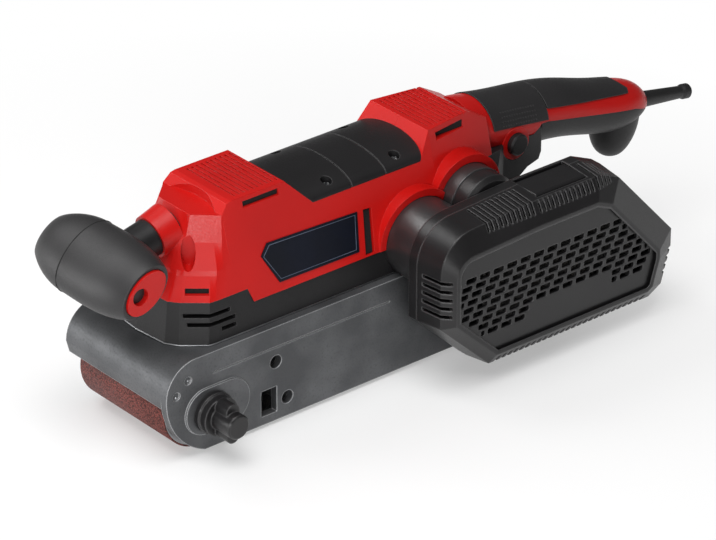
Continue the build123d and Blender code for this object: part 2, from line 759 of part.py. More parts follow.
# Red housing with the nose, two humps and the hoods round the dust port and the drive, before it is halved
neck_axis = Vector(grip_x, 0, grip_z - neck_drop) - Vector(*neck_mouth)
neck_start = Vector(*neck_mouth) - neck_axis * 0.4
collar_start = Vector(*neck_mouth) - neck_axis * 0.35
hood_depth = 20.0
with BuildPart() as housing:
    side_cut(-wide, wide, Mode.ADD,
             (hump_front - 4.2, band_front_top), (hump_front - 4.2, nose_top), (hump_front, hump_top - 0.8),
             (hump_front + 3.0, hump_top), (hump_rear, hump_top),
             (saddle_front, saddle_z), (saddle_rear, saddle_z), (rear_hump_front, rear_hump_top),
             (rear_hump_rear, rear_hump_top), (housing_end, rear_hump_top - 8.5), (housing_end, housing_floor),
             (floor_front, housing_floor), (shell_joint, band_top), (band_step_x + 3.0, band_top),
             (band_step_x, band_front_top))
    with BuildSketch(Plane.YZ.offset(nose_front)):
        with BuildLine():
            Polyline((-side_half, band_top), (side_half, band_top), (side_at(hump_top), hump_top),
                     (-side_at(hump_top), hump_top), close=True)
        make_face()
    extrude(amount=housing_end - nose_front, mode=Mode.INTERSECT)
    taper_rear()
    # Faceted nose with a flat top, scooped out of the front of the hump
    loft([nose_outline(z, nose_front + setback, side_at(z), band_step_x, tip, facet, flare)
          for z, setback, tip, facet, flare in nose_plans], ruled=True)
    with Locations((hump_front + 0.4 - scoop_radius, 0, nose_top)):
        Cylinder(scoop_radius, hump_top, align=(Align.CENTER, Align.CENTER, Align.MIN), mode=Mode.SUBTRACT)
    # A hollow beside the collar and a slot in the lower facet, on both sides
    for side in (-1, 1):
        with BuildSketch(nose_facet(nose_front + 20.5, side * 16.2, nose_top - 19.5), mode=Mode.PRIVATE) as hollow:
            Ellipse(4.0, 9.0)
        extrude(hollow.sketch, amount=14.0, mode=Mode.SUBTRACT)
        with BuildSketch(nose_facet(nose_front + 17.0, side * 28.0, nose_ledge_z - 7.5), mode=Mode.PRIVATE) as slit:
            Rectangle(13.0, 3.4)
        extrude(slit.sketch, amount=10.0, mode=Mode.SUBTRACT)
    # Tapered collar of the front grip
    with BuildSketch(Plane(origin=collar_start, z_dir=neck_axis), mode=Mode.PRIVATE) as collar_root:
        Circle(collar_radius + collar_flare)
    with BuildSketch(Plane(origin=neck_mouth, z_dir=neck_axis), mode=Mode.PRIVATE) as collar_mouth:
        Circle(collar_radius)
    loft([collar_root.sketch, collar_mouth.sketch])
    with BuildSketch(left_plane(-hood_depth)):
        with Locations((port_x, port_z)):
            Circle(drum_radius + 4.5)
        with Locations((port_x, band_top)):
            Rectangle(100.0, 100.0, align=(Align.CENTER, Align.MAX), mode=Mode.SUBTRACT)
    extrude(amount=hood_depth)
    with BuildSketch(left_plane(-hood_depth)):
        with Locations((lay_x, motor_z)):
            Circle(drive_boss_radius + 5.0)
        with BuildLine() as below_hood:
            Polyline((shell_joint, band_top), (case_rear, housing_floor - 2.0), (case_rear + 10.0, 50.0),
                     (shell_joint - 20.0, 50.0), (shell_joint - 20.0, band_top), close=True)
        make_face(below_hood.line.edges(), mode=Mode.SUBTRACT)
    extrude(amount=hood_depth - 2.0)
    # Room for the motor, the gear case and the brushes, and hollow humps
    block((motor_front, -motor_room, band_top - 1.0), (case_front, motor_room, motor_z), mode=Mode.SUBTRACT)
    with BuildSketch(Plane.YZ.offset(motor_front)):
        with Locations((0, motor_z)):
            Circle(motor_room)
    extrude(amount=case_front - motor_front, mode=Mode.SUBTRACT)
    with BuildSketch(Plane.YZ.offset(case_front - fit_gap)):
        with BuildLine():
            Polyline((-case_room, band_top - 1.0), (-case_room, case_top - case_chamfer + fit_gap),
                     (case_chamfer - case_room, case_top + fit_gap), (case_room - case_chamfer, case_top + fit_gap),
                     (case_room, case_top - case_chamfer + fit_gap), (case_room, band_top - 1.0), close=True)
        make_face()
    extrude(amount=case_rear - case_front + 1.0, mode=Mode.SUBTRACT)
    block((0, -20.0, motor_z), (60.0, 20.0, saddle_z + 1.0), mode=Mode.SUBTRACT)
    block((hump_front + 4.0, -19.0, band_top), (hump_rear - 6.0, 19.0, hump_top - 4.0), mode=Mode.SUBTRACT)
    block((nose_front + 14.0, -18.0, band_top), (hump_front + 6.0, 18.0, nose_ledge_z - 3.5), mode=Mode.SUBTRACT)
    bore_across(lay_x, motor_z, -wide, -hood_depth, drive_boss_radius + fit_gap)
    bore_across(port_x, port_z, -wide, -port_inner, drum_radius + fit_gap)
    with BuildSketch(Plane(origin=neck_start, z_dir=neck_axis)):
        Circle(neck_radius)
    extrude(amount=60.0, mode=Mode.SUBTRACT)
    # Upright recess between the label and the hood of the dust port
    with BuildSketch(left_face):
        with BuildLine():
            Polyline((22.5, 1.0), (25.7, 27.0), (31.5, 26.5), (29.0, 1.0), close=True)
        make_face()
    extrude(amount=-4.0, mode=Mode.SUBTRACT)
    # Cross ribs on both humps and a long slot under each hump edge
    for x_low, x_high, top in ((hump_front + 8.0, hump_rear - 2.0, hump_top),
                               (rear_hump_front + 3.0, rear_hump_rear - 3.0, rear_hump_top)):
        for number in range(int((x_high - x_low) / rib_pitch) + 1):
            x = x_low + number * rib_pitch
            block((x, -21.0, top - rib_depth), (x + rib_width, 21.0, top), mode=Mode.SUBTRACT)
    for side in (-1, 1):
        block((hump_front + 10.4, side * (side_at(hump_top) - slot_depth), hump_top - 6.0),
              (hump_rear - 4.8, side * wide, hump_top - 2.5), mode=Mode.SUBTRACT)
        block((rear_hump_front + 5.1, side * (side_at(hump_top) - slot_depth), rear_hump_top - 7.3),
              (rear_hump_rear - 5.0, side * wide, rear_hump_top - 3.0), mode=Mode.SUBTRACT)
    # Seats of the screws that join the halves, and of the motor cover screws
    for x, z in joint_screws:
        bore_across(x, z, side_at(z) - head_depth, wide, head_radius + fit_gap)
        bore_across(x, z, side_at(z) - head_depth - joint_screw_length, side_at(z) - head_depth, shank_radius)
    with Locations(*[(x, y, saddle_z) for x, y in cover_screws]):
        Hole(shank_radius, depth=cover_screw_length)
def sleeve_seat():
    """Cut the seat of the cable sleeve: its flange and its neck."""
    turn_along(sleeve_z, (0, 0), (0, sleeve_flange + fit_gap), (flange_length + 0.5, sleeve_flange + fit_gap),
               (flange_length + 0.5, sleeve_neck + fit_gap), (sleeve_length, sleeve_neck + fit_gap), (sleeve_length, 0),
               x=sleeve_x, droop=sleeve_droop, mode=Mode.SUBTRACT)


with BuildPart() as handle_band:
    handle_form(0.0)
    block((0, -wide, 0), (case_rear + 1.0, wide, sky), mode=Mode.SUBTRACT)
    side_cut(-wide, wide, Mode.SUBTRACT, *grip_front_low, *grip_rear_low, (grip_end_x - 6.0, sky), (collar_x, sky))
    side_cut(-wide, wide, Mode.SUBTRACT, *band_under, (handle_end_x + 5.0, 0), (housing_end - 12.0, 0))
    sleeve_seat()
    # Rim round the lock button
    with BuildSketch(left_plane(-12.0)):
        with Locations((button_x, button_z)):
            Circle(button_radius + button_rim)
    extrude(amount=8.5)
    bore_across(button_x, button_z, -wide, -6.0, button_radius + running_clearance)
with BuildPart() as housing_left:
    add(housing.part)
    add(handle_band.part)
    split(bisect_by=Plane.XZ, keep=Keep.TOP)
with BuildPart() as housing_right:
    add(housing.part)
    add(handle_band.part)
    split(bisect_by=Plane.XZ, keep=Keep.BOTTOM)

# Screws: a row that joins the housing halves and four in the motor cover
with BuildPart() as screws:
    for x, z in joint_screws:
        seat_y = side_at(z) - head_depth
        turn_across(x, z, (seat_y - joint_screw_length, 0), (seat_y - joint_screw_length, shank_radius),
                    (seat_y, shank_radius), (seat_y, head_radius), (seat_y + head_height, head_radius),
                    (seat_y + head_height, 0))
    with Locations(*[(x, y, saddle_z) for x, y in cover_screws]):
        Cylinder(shank_radius, cover_screw_length, align=(Align.CENTER, Align.CENTER, Align.MAX))
        Cylinder(shank_radius, cover_seat, align=(Align.CENTER, Align.CENTER, Align.MIN))
    with Locations(*[(x, y, saddle_z + cover_seat) for x, y in cover_screws]):
        Cylinder(head_radius, head_height, align=(Align.CENTER, Align.CENTER, Align.MIN))

# Black base band under the red housing
with BuildPart() as vent_band:
    loft([nose_outline(band_bottom, nose_front - 4.0, band_half, shell_joint),
          nose_outline(band_front_top, nose_front, side_at(band_front_top), shell_joint)], ruled=True)
    side_cut(-wide, wide, Mode.SUBTRACT, (band_step_x + 3.0, band_top), (shell_joint + 1.0, band_top),
             (shell_joint + 1.0, sky), (band_step_x, sky), (band_step_x, band_front_top))
    extrude(nose_outline(band_bottom + 2.0, nose_front + 8.0, band_half - 5.5, shell_joint), amount=sky,
            mode=Mode.SUBTRACT)
    # Bent air slots round both front corners
    for z, x_low, x_high in ((76.5, -98.0, -73.0), (71.5, -97.0, -70.0), (67.0, -80.0, -70.0)):
        for side in (-1, 1):
            block((x_low, side * 27.0, z), (x_high, side * wide, z + 2.4), mode=Mode.SUBTRACT)
    bore_across(port_x, port_z, -wide, -port_inner, drum_radius + fit_gap)

# Rear shell round the gear case, up to the finger gap
with BuildPart() as rear_shell:
    side_cut(-wide, wide, Mode.ADD,
             (shell_joint, band_bottom), (shell_joint, band_top), (floor_front, housing_floor), *band_under[1:4],
             (shell_end, 87.5), (shell_end - 2.0, 83.0), (shell_end - 11.0, 81.0), (shell_end - 29.0, 70.0),
             (case_rear + 3.0, band_bottom))
    with BuildSketch(Plane.YZ.offset(shell_joint)):
        with BuildLine():
            Polyline((-band_half, band_bottom), (band_half, band_bottom), (side_half, band_top),
                     (side_at(hump_top), hump_top), (-side_at(hump_top), hump_top), (-side_half, band_top), close=True)
        make_face()
    extrude(amount=grip_joint_x, mode=Mode.INTERSECT)
    with BuildSketch(Plane.XY.offset(band_bottom)):
        with BuildLine():
            Polyline((shell_joint, -wide), (housing_end - 7.0, -wide), (housing_end, -30.0), (collar_x + 7.0, -21.0),
                     (grip_joint_x + 4.0, -18.5), (grip_joint_x + 4.0, 18.5), (collar_x + 7.0, 21.0),
                     (housing_end, 30.0), (housing_end - 7.0, wide), (shell_joint, wide), close=True)
        make_face()
    extrude(amount=sky, mode=Mode.INTERSECT)
    taper_rear()
    block((shell_joint, -case_left - fit_gap, band_bottom + 2.0), (case_rear + 1.0, case_left, housing_floor),
          mode=Mode.SUBTRACT)
    bore_across(lay_x, motor_z, -wide, -hood_depth, drive_boss_radius + fit_gap)
    add(housing.part, mode=Mode.SUBTRACT)
    add(handle_band.part, mode=Mode.SUBTRACT)
    bore_across(button_x, button_z, -wide, -11.8, button_radius + button_rim + fit_gap)
    bore_across(button_x, button_z, -wide, -9.0, button_radius + fit_gap)

# Lower handle shell with its tail lobe: z, x, half length and half width of the lobe
lobe_x = handle_end_x - 18.0
lobe_sections = ((82.0, lobe_x, 18.0, 12.5), (72.0, lobe_x + 0.5, 16.7, 11.8), (62.5, lobe_x - 0.2, 13.3, 9.5),
                 (55.0, lobe_x + 0.5, 6.5, 4.5))
pivot_x = trigger_rear - 3.0
pivot_z = 86.0
with BuildPart() as handle_lower:
    handle_form(0.0)
    side_cut(-wide, wide, Mode.INTERSECT, *band_under[3:], (handle_end_x + 5.0, 50.0), (shell_end, 50.0))
    lobes = []
    for z, x, half_length, half_width in lobe_sections:
        with BuildSketch(Plane.XY.offset(z), mode=Mode.PRIVATE) as lobe:
            with Locations((x, 0)):
                Ellipse(half_length, half_width)
        lobes.append(lobe.sketch)
    loft(lobes)
    add(handle_band.part, mode=Mode.SUBTRACT)
    block((trigger_front - 0.5, -trigger_half - 0.5, 60.0), (trigger_rear + 0.5, trigger_half + 0.5, 98.0),
          mode=Mode.SUBTRACT)
    bore_across(pivot_x, pivot_z, -trigger_half - 2.3, trigger_half + 2.3, trigger_pin + running_clearance)
    sleeve_seat()
with BuildPart() as trigger:
    side_cut(-trigger_half, trigger_half, Mode.ADD, (trigger_front, pivot_z + 3.8), (trigger_front, pivot_z),
             (trigger_front + 2.0, pivot_z - 1.1), (trigger_rear - 4.0, pivot_z - 4.4),
             (trigger_rear, pivot_z - 2.5), (trigger_rear, pivot_z + 3.0))
    for side in (-1, 1):
        split(bisect_by=Plane(origin=(trigger_front, side * trigger_half, pivot_z + 2.3),
                              z_dir=(-0.165, side * 0.83, -1.0)), keep=Keep.BOTTOM)
    ring_across(pivot_x, pivot_z, -trigger_half - 2.0, trigger_half + 2.0, trigger_pin, 0.0)
with BuildPart() as trigger_switch:
    block((trigger_front + 1.0, -trigger_half, pivot_z + 7.0), (trigger_rear - 6.0, trigger_half, pivot_z + 11.5))
with BuildPart() as lock_button:
    turn_across(button_x, button_z, (-24.5, 0), (-24.5, button_radius - 1.0), (-23.5, button_radius),
                (-13.0, button_radius), (-13.0, 0))
with BuildPart() as cable_sleeve:
    turn_along(sleeve_z, (0, 0), (0, sleeve_flange), (flange_length, sleeve_flange), (flange_length, sleeve_neck),
               (16.0, sleeve_neck), (sleeve_length - 7.0, 3.8), (sleeve_length - 5.0, 4.6), (sleeve_length - 1.0, 4.6),
               (sleeve_length, 3.8), (sleeve_length, 0), x=sleeve_x, droop=sleeve_droop)

# Domed motor cover with two moulded seams
with BuildPart() as motor_cover:
    dome_half = side_at(saddle_z)
    with BuildSketch(Plane.YZ.offset(saddle_front - 12.0)):
        with Locations((0, saddle_z)):
            Ellipse(dome_half, dome_height)
            Rectangle(100.0, 50.0, align=(Align.CENTER, Align.MAX), mode=Mode.SUBTRACT)
    extrude(amount=saddle_rear - saddle_front + 24.0)
    side_cut(-wide, wide, Mode.INTERSECT, (saddle_front, saddle_z), (saddle_rear, saddle_z),
             (saddle_rear + 6.0, saddle_z + 10.0), (saddle_front - 10.0, saddle_z + 10.0))
    with BuildSketch(Plane.YZ.offset(2.0)):
        with Locations((0, saddle_z)):
            Ellipse(dome_half - 12.0, dome_height - cover_thickness)
    extrude(amount=56.0, mode=Mode.SUBTRACT)
    for x in (20.5, 45.0):
        with BuildSketch(Plane.YZ.offset(x)):
            with Locations((0, saddle_z)):
                Ellipse(dome_half + 5.0, dome_height + 5.0)
                Ellipse(dome_half - 0.6, dome_height - 0.6, mode=Mode.SUBTRACT)
        extrude(amount=seam_width, mode=Mode.SUBTRACT)
    with Locations(*[(x, y, saddle_z + cover_seat) for x, y in cover_screws]):
        Hole(shank_radius, depth=cover_seat)
        Cylinder(head_radius + fit_gap, dome_height, align=(Align.CENTER, Align.CENTER, Align.MIN), mode=Mode.SUBTRACT)

# Bare label plate on the left face
with BuildPart() as label_plate:
    rise = math.sqrt(1 + draft ** 2)
    with BuildSketch(left_face):
        with BuildLine():
            Polyline((-47.8, 22.3 * rise), (-42.6, 28.2 * rise), (21.2, 26.3 * rise), (18.1, 4.5 * rise),
                     (-38.3, 5.0 * rise), close=True)
        make_face()
    extrude(amount=label_thickness)


def grip_oval(y, half_long, half_short):
    """Tilted oval section of the front grip."""
    tilt = math.radians(grip_tilt)
    plane = Plane(origin=(grip_x, y, grip_z), x_dir=(math.cos(tilt), 0, math.sin(tilt)), z_dir=(0, -1, 0))
    with BuildSketch(plane) as oval:
        Ellipse(half_long, half_short)
    return oval.sketch


# Front grip: two barrel parts, neck and end cap
with BuildPart() as front_grip_left:
    loft([grip_oval(grip_seam_y, grip_long, grip_short), grip_oval(-14.0, grip_long, grip_short),
          grip_oval(-grip_near + 6.0, grip_long - 3.4, grip_short - 1.3),
          grip_oval(-grip_near, cap_long + 2.8, cap_short + 1.8)])
    with BuildSketch(left_plane(-grip_near + cap_depth)):
        with Locations((grip_x, grip_z)):
            Ellipse(cap_long + fit_gap, cap_short + fit_gap, rotation=grip_tilt)
    extrude(amount=cap_depth, mode=Mode.SUBTRACT)
with BuildPart() as front_grip_right:
    loft([grip_oval(grip_seam_y, grip_long, grip_short), grip_oval(24.0, grip_long - 1.2, grip_short - 0.7),
          grip_oval(grip_far - 9.0, grip_long - 4.3, grip_short - 2.5), grip_oval(grip_far, 14.0, 7.9)])
with BuildPart() as grip_cap:
    with BuildSketch(left_plane(-grip_near + cap_depth)):
        with Locations((grip_x, grip_z)):
            Ellipse(cap_long, cap_short, rotation=grip_tilt)
    extrude(amount=cap_depth + 1.5)
    bore_across(grip_x - cap_hole_shift, grip_z, -grip_near - 5.0, -grip_near + cap_depth, cap_hole)
with BuildPart() as grip_neck:
    with BuildSketch(Plane(origin=neck_start, z_dir=neck_axis)):
        Circle(neck_radius)
    extrude(amount=neck_axis.length * 1.2)
    add(front_grip_left.part, mode=Mode.SUBTRACT)

# Dust port: drum notched round the frame and the drive cover, spigot for the box
drum_face = box_inner - 0.5
with BuildPart() as dust_port:
    turn_across(port_x, port_z, (-port_inner, spigot_radius - port_wall), (-port_inner, drum_radius),
                (-drum_face, drum_radius), (-drum_face, spigot_radius), (-box_inner - spigot_length, spigot_radius),
                (-box_inner - spigot_length, spigot_radius - port_wall))
    block((0, -plate_outer - 0.6, 0), (150.0, 0, band_bottom), mode=Mode.SUBTRACT)
    with BuildSketch(left_plane(-port_inner)):
        drive_outline(0.8)
    extrude(amount=drum_face - port_inner, mode=Mode.SUBTRACT)
    bore_across(lay_x, motor_z, -wide, 0, drive_boss_radius + 0.8)


def box_section(depth, extra):
    """Section of the dust box at a depth from the middle plane: it leans in slightly, then bevels to the face."""
    lean = min(max((depth - box_joint) / (box_shoulder - box_joint), 0.0), 1.0)
    bevel = max((depth - box_shoulder) / (box_face - box_shoulder), 0.0)
    inset = lean * box_lean + bevel * face_inset + extra
    front = port_x - box_corner
    turn = box_corner * math.sqrt(0.5)
    crown = (port_x, port_z + box_corner)
    plane = Plane(origin=(bevel * face_shift_x, -depth, bevel * face_shift_z), x_dir=(1, 0, 0), z_dir=(0, -1, 0))
    with BuildSketch(plane) as section:
        with BuildLine() as outline:
            ThreePointArc((front, port_z), (port_x - turn, port_z + turn), crown)
            Polyline(crown, (latch_front, box_top), (box_end - 59.4, box_top), (box_end - 43.4, box_top - 7.0),
                     (box_end, 50.3), (box_end, heel_z), (box_end - 7.0, box_bottom + 6.0),
                     (box_end - 18.0, box_bottom), (front + box_toe, box_bottom), (front, 44.0), (front, port_z))
        make_face(outline.line.edges())
        if inset > 0:
            offset(amount=-inset, kind=Kind.INTERSECTION, mode=Mode.REPLACE)
    return section.sketch


# Dust box: base on the spigot, bevelled cover, grille panel, filter and latch
latch_floor = box_top - latch_thickness - 2.0
latch_end = box_shoulder - 2.0
latch_pin_y = -box_inner - 4.0
latch_pin_z = box_top - latch_thickness / 2 - 1.0
with BuildPart() as dust_box:
    extrude(box_section(box_inner, 0.0), amount=box_joint - box_inner)
    extrude(box_section(box_inner + box_wall, box_wall), amount=box_joint - box_inner - box_wall, mode=Mode.SUBTRACT)
    ring_across(port_x, port_z, -box_inner - spigot_length, -box_inner, spigot_radius + 2.0, spigot_radius + fit_gap)
    bore_across(port_x, port_z, -box_inner - box_wall, -box_inner, spigot_radius + fit_gap)
    # Seat and pin holes of the latch
    block((latch_front - 4.0, -box_joint, latch_floor - 3.0), (latch_rear + 4.0, -box_inner, box_top - 1.0))
    block((latch_front, -box_joint, latch_floor), (latch_rear, -box_inner - 1.5, box_top), mode=Mode.SUBTRACT)
    with BuildSketch(Plane.YZ.offset(latch_front - 2.0)):
        with Locations((latch_pin_y, latch_pin_z)):
            Circle(latch_pin + running_clearance)
    extrude(amount=latch_rear - latch_front + 4.0, mode=Mode.SUBTRACT)
with BuildPart() as dust_cover:
    loft([box_section(box_joint, 0.0), box_section(box_shoulder, 0.0), box_section(box_face, 0.0)], ruled=True)
    loft([box_section(box_joint, box_wall), box_section(box_shoulder, box_wall), box_section(box_face, window_rim)],
         ruled=True, mode=Mode.SUBTRACT)
    block((latch_front - 3.0, -box_joint, latch_floor - 3.0), (latch_rear + 3.0, -latch_end - 1.0, box_top - 3.0))
    block((latch_front, -box_joint, latch_floor), (latch_rear, -latch_end, box_top), mode=Mode.SUBTRACT)
    # Air slots over the top, bent slots round the front corner and notches along the lower and rear edges
    for first, count, start in ((70.0, 11, box_joint + 2.0), (latch_front - 2.0, 13, latch_end + 2.0),
                                (latch_rear + 4.0, 4, box_joint + 2.0)):
        for number in range(count):
            x = first + number * rib_pitch
            block((x, -start, box_top - 9.0), (x + rib_width, -box_face, box_top), mode=Mode.SUBTRACT)
    for number in range(5):
        z = 52.0 + number * 5.2
        block((port_x - box_corner, -box_joint - 4.0, z), (port_x - box_corner + 6.5, -box_face, z + 2.2),
              mode=Mode.SUBTRACT)
    for number in range(26):
        x = port_x + 17.0 + number * tooth_pitch
        block((x, -box_shoulder + 1.5, box_bottom), (x + tooth_gap, -box_face, box_bottom + box_lean + tooth_depth),
              mode=Mode.SUBTRACT)
    for number in range(4):
        z = heel_z - 2.0 - number * tooth_pitch
        heel = box_end - 0.3 * (heel_z - z) - box_lean
        block((heel - 3.0, -box_shoulder + 1.5, z), (box_end, -box_face, z + tooth_gap), mode=Mode.SUBTRACT)


def in_field(x, z):
    """True where the grille has an air opening: slanted right end, blank middle in the lower rows."""
    blank = z < field_bottom + 2.5 * row_pitch and abs(x - 129.5) < 31.0
    return field_left < x < min(field_right, field_right + 52.0 - z) and not blank


field_left = 50.0
field_right = 189.0
field_bottom = 35.5
grille_face = box_face - grille_recess
with BuildPart() as dust_grille:
    extrude(box_section(grille_face, grille_edge), amount=-grille_thickness)
    bricks = []
    for row in range(9):
        for column in range(18):
            x = field_left + (column + 0.5 + 0.5 * (row % 2)) * brick_pitch
            z = field_bottom + row * row_pitch
            if in_field(x, z):
                bricks.append((x, z))
    with BuildSketch(left_plane(-grille_face)):
        with Locations(*bricks):
            Rectangle(brick_length, brick_height)
    extrude(amount=-grille_thickness, mode=Mode.SUBTRACT)
with BuildPart() as dust_filter:
    filter_back = -grille_face + grille_thickness + 1.0
    block((port_x + 7.0, filter_back, box_bottom + 21.5), (box_end - 35.0, filter_back + 10.0, port_z - 1.5))
with BuildPart() as dust_latch:
    with BuildSketch(Plane.YZ.offset(latch_front + fit_gap)):
        with Locations((latch_pin_y, latch_pin_z)):
            Circle(latch_thickness / 2)
        with Locations((-latch_end + 1.0 + latch_thickness / 2, latch_pin_z)):
            Circle(latch_thickness / 2)
        make_hull()
    extrude(amount=latch_rear - latch_front - 2 * fit_gap)
    with BuildSketch(Plane.YZ.offset(latch_front - 1.5)):
        with Locations((latch_pin_y, latch_pin_z)):
            Circle(latch_pin)
    extrude(amount=latch_rear - latch_front + 3.0)

pieces = {
    "sanding_belt": sanding_belt, "cast_frame": cast_frame, "platen_pad": platen_pad, "platen": platen,
    "front_roller": front_roller, "front_bearings": front_bearings, "front_axle": front_axle,
    "tension_carriage": tension_carriage, "tension_spring": tension_spring, "lever_pin": lever_pin,
    "tension_lever": tension_lever, "drive_roller": drive_roller, "roller_rubber": roller_rubber,
    "drive_shaft": drive_shaft, "drive_bearings": drive_bearings, "driven_pulley": driven_pulley,
    "drive_pulley": drive_pulley, "toothed_belt": toothed_belt, "tracking_knob": tracking_knob,
    "tracking_screw": tracking_screw, "stator": stator, "field_coils": field_coils, "motor_shaft": motor_shaft,
    "armature": armature, "commutator": commutator, "cooling_fan": cooling_fan, "motor_bearings": motor_bearings,
    "end_shield": end_shield, "brush_holders": brush_holders, "carbon_brushes": carbon_brushes,
    "gear_case": gear_case, "layshaft_bearings": layshaft_bearings, "layshaft": layshaft,
    "bevel_gear": bevel_gear, "bevel_pinion": bevel_pinion, "drive_boss": drive_boss, "drive_cover": drive_cover,
    "soft_grips": soft_grips, "housing_left": housing_left, "housing_right": housing_right, "screws": screws,
    "vent_band": vent_band, "rear_shell": rear_shell, "handle_lower": handle_lower, "trigger": trigger,
    "trigger_switch": trigger_switch, "lock_button": lock_button, "cable_sleeve": cable_sleeve,
    "motor_cover": motor_cover, "label_plate": label_plate, "front_grip_left": front_grip_left,
    "front_grip_right": front_grip_right, "grip_cap": grip_cap, "grip_neck": grip_neck, "dust_port": dust_port,
    "dust_box": dust_box, "dust_cover": dust_cover, "dust_grille": dust_grille, "dust_filter": dust_filter,
    "dust_latch": dust_latch,
}
os.makedirs("parts", exist_ok=True)
for name, piece in pieces.items():
    piece.part.label = name
    export_step(piece.part, f"parts/{name}.step")
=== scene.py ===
"""The finishes, small pieces and studio of a hand-held belt sander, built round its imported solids."""

import math

import bmesh
import bpy
from mathutils import Matrix, Vector
from mathutils.geometry import convex_hull_2d


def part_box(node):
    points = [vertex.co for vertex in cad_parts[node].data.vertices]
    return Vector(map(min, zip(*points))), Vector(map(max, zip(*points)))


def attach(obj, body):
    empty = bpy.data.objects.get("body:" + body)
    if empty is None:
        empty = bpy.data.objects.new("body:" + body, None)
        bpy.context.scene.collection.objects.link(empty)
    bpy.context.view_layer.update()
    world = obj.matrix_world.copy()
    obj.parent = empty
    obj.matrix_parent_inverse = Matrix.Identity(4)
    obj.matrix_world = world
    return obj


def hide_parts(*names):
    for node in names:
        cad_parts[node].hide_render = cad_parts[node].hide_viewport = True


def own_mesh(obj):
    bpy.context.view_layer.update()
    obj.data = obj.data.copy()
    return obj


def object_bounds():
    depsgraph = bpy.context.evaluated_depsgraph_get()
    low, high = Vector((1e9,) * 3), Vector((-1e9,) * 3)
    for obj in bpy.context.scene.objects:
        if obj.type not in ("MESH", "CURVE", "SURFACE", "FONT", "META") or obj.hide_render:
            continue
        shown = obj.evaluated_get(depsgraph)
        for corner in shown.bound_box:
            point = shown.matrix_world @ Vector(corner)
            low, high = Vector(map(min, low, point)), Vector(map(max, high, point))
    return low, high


bl_info = {
    "name": "Belt sander",
    "version": (1, 0, 0),
    "blender": (4, 5, 0),
    "location": "View3D > Sidebar > Sander",
    "description": "Finishes, small pieces and studio of a hand-held belt sander",
    "category": "Object",
}

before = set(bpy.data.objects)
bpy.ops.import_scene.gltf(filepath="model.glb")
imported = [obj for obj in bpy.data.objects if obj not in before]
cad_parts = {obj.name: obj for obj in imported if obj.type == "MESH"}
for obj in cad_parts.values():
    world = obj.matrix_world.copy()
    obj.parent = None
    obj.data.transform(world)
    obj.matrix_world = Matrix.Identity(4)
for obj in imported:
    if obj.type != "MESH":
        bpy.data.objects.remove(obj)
CAD_BOX = [list(corner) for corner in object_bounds()]
MM = 0.001
# A point this near to the lowest face of a solid is on that face.
NEAR = 0.1 * MM
# Scale of a wave texture times the spacing of its bands.
WAVE = 0.314
# The housing's sides in millimetres: half their spread and the height at their foot, and, for each
# millimetre of height, how far they lean in and how long they are.
SIDE_HALF, SIDE_FOOT, LEAN, SLOPE = 39.5, 77, 0.263, 1.034


# Colours and sizes that a user would change


def linear(hex_colour):
    """The linear colour, with full alpha, of an sRGB hex value."""
    channels = [int(hex_colour[i : i + 2], 16) / 255 for i in (1, 3, 5)]
    return (*[c / 12.92 if c <= 0.04045 else ((c + 0.055) / 1.055) ** 2.4 for c in channels], 1.0)


def colour_of(name, description, hex_colour):
    """A colour that a user can change."""
    return bpy.props.FloatVectorProperty(
        name=name, description=description, subtype="COLOR", size=4, min=0, max=1, default=linear(hex_colour)
    )


def length_of(name, description, millimetres):
    """A length that a user can change."""
    return bpy.props.FloatProperty(
        name=name, description=description, subtype="DISTANCE", unit="LENGTH", min=0, default=millimetres * MM
    )


def angle_of(name, description, degrees):
    """An angle that a user can change."""
    return bpy.props.FloatProperty(
        name=name, description=description, subtype="ANGLE", default=math.radians(degrees)
    )


class SanderColours(bpy.types.PropertyGroup):
    """Colours of the sander's finishes."""

    red: colour_of("Red shells", "Moulded colour of the motor shells", "#C2130F")
    red_shade: colour_of("Red shade", "Deeper tone in the red's slow change", "#B6100D")
    # The red's edge tone: wear, and a painted highlight along the edges.
    red_worn_and_lit: colour_of("Red edges", "Lighter tone of the red's rubbed edges", "#CF2E26")
    black: colour_of("Black mouldings", "Moulded colour of the covers and boxes", "#1D1C1D")
    black_shade: colour_of("Black shade", "Deeper tone in the black's slow change", "#171617")
    # The black's edge tone: wear, and a painted highlight along the edges.
    black_worn_and_lit: colour_of("Black edges", "Lighter tone of the black's rubbed edges", "#605F60")
    grip: colour_of("Soft grips", "Colour of the soft layer on the handles", "#282728")
    grip_shade: colour_of("Grip shade", "Deeper tone of the soft layer", "#222122")
    casting: colour_of("Casting", "Paint of the cast frame", "#68696B")
    casting_shade: colour_of("Casting shade", "Darker flecks in the paint", "#525355")
    # The casting's edge tone: bare metal where the paint is worn, and a painted highlight along the rims.
    casting_worn_and_lit: colour_of("Casting edges", "Metal that shows through on the casting's edges", "#CDCED0")
    grit: colour_of("Abrasive", "Colour of the belt's grains", "#9C5047")
    grit_bond: colour_of("Bond", "Colour of the resin between the grains", "#3F211E")
    steel: colour_of("Steel", "Colour of the bare steel", "#BCBDBF")
    steel_shade: colour_of("Steel shade", "Darker tone of the bare steel", "#9D9EA1")
    copper: colour_of("Copper", "Colour of the windings", "#B87443")
    copper_shade: colour_of("Copper shade", "Enamel between the wires", "#7C4526")
    label: colour_of("Label film", "Colour of the bare label", "#0B101E")
    label_line: colour_of("Label line", "Colour of the line inside the label's edge", "#4A5366")
    felt: colour_of("Filter felt", "Colour of the dust filter", "#2A2927")
    felt_dust: colour_of("Filter dust", "Fine dust caught in the felt", "#4A4238")
    cloth: colour_of("Belt cloth", "Colour of the belt's woven back", "#A98E66")
    cloth_shade: colour_of("Belt cloth shade", "Gaps between the threads of the belt's back", "#7C6545")
    floor: colour_of("Floor", "Colour of the studio floor", "#FBFBFB")


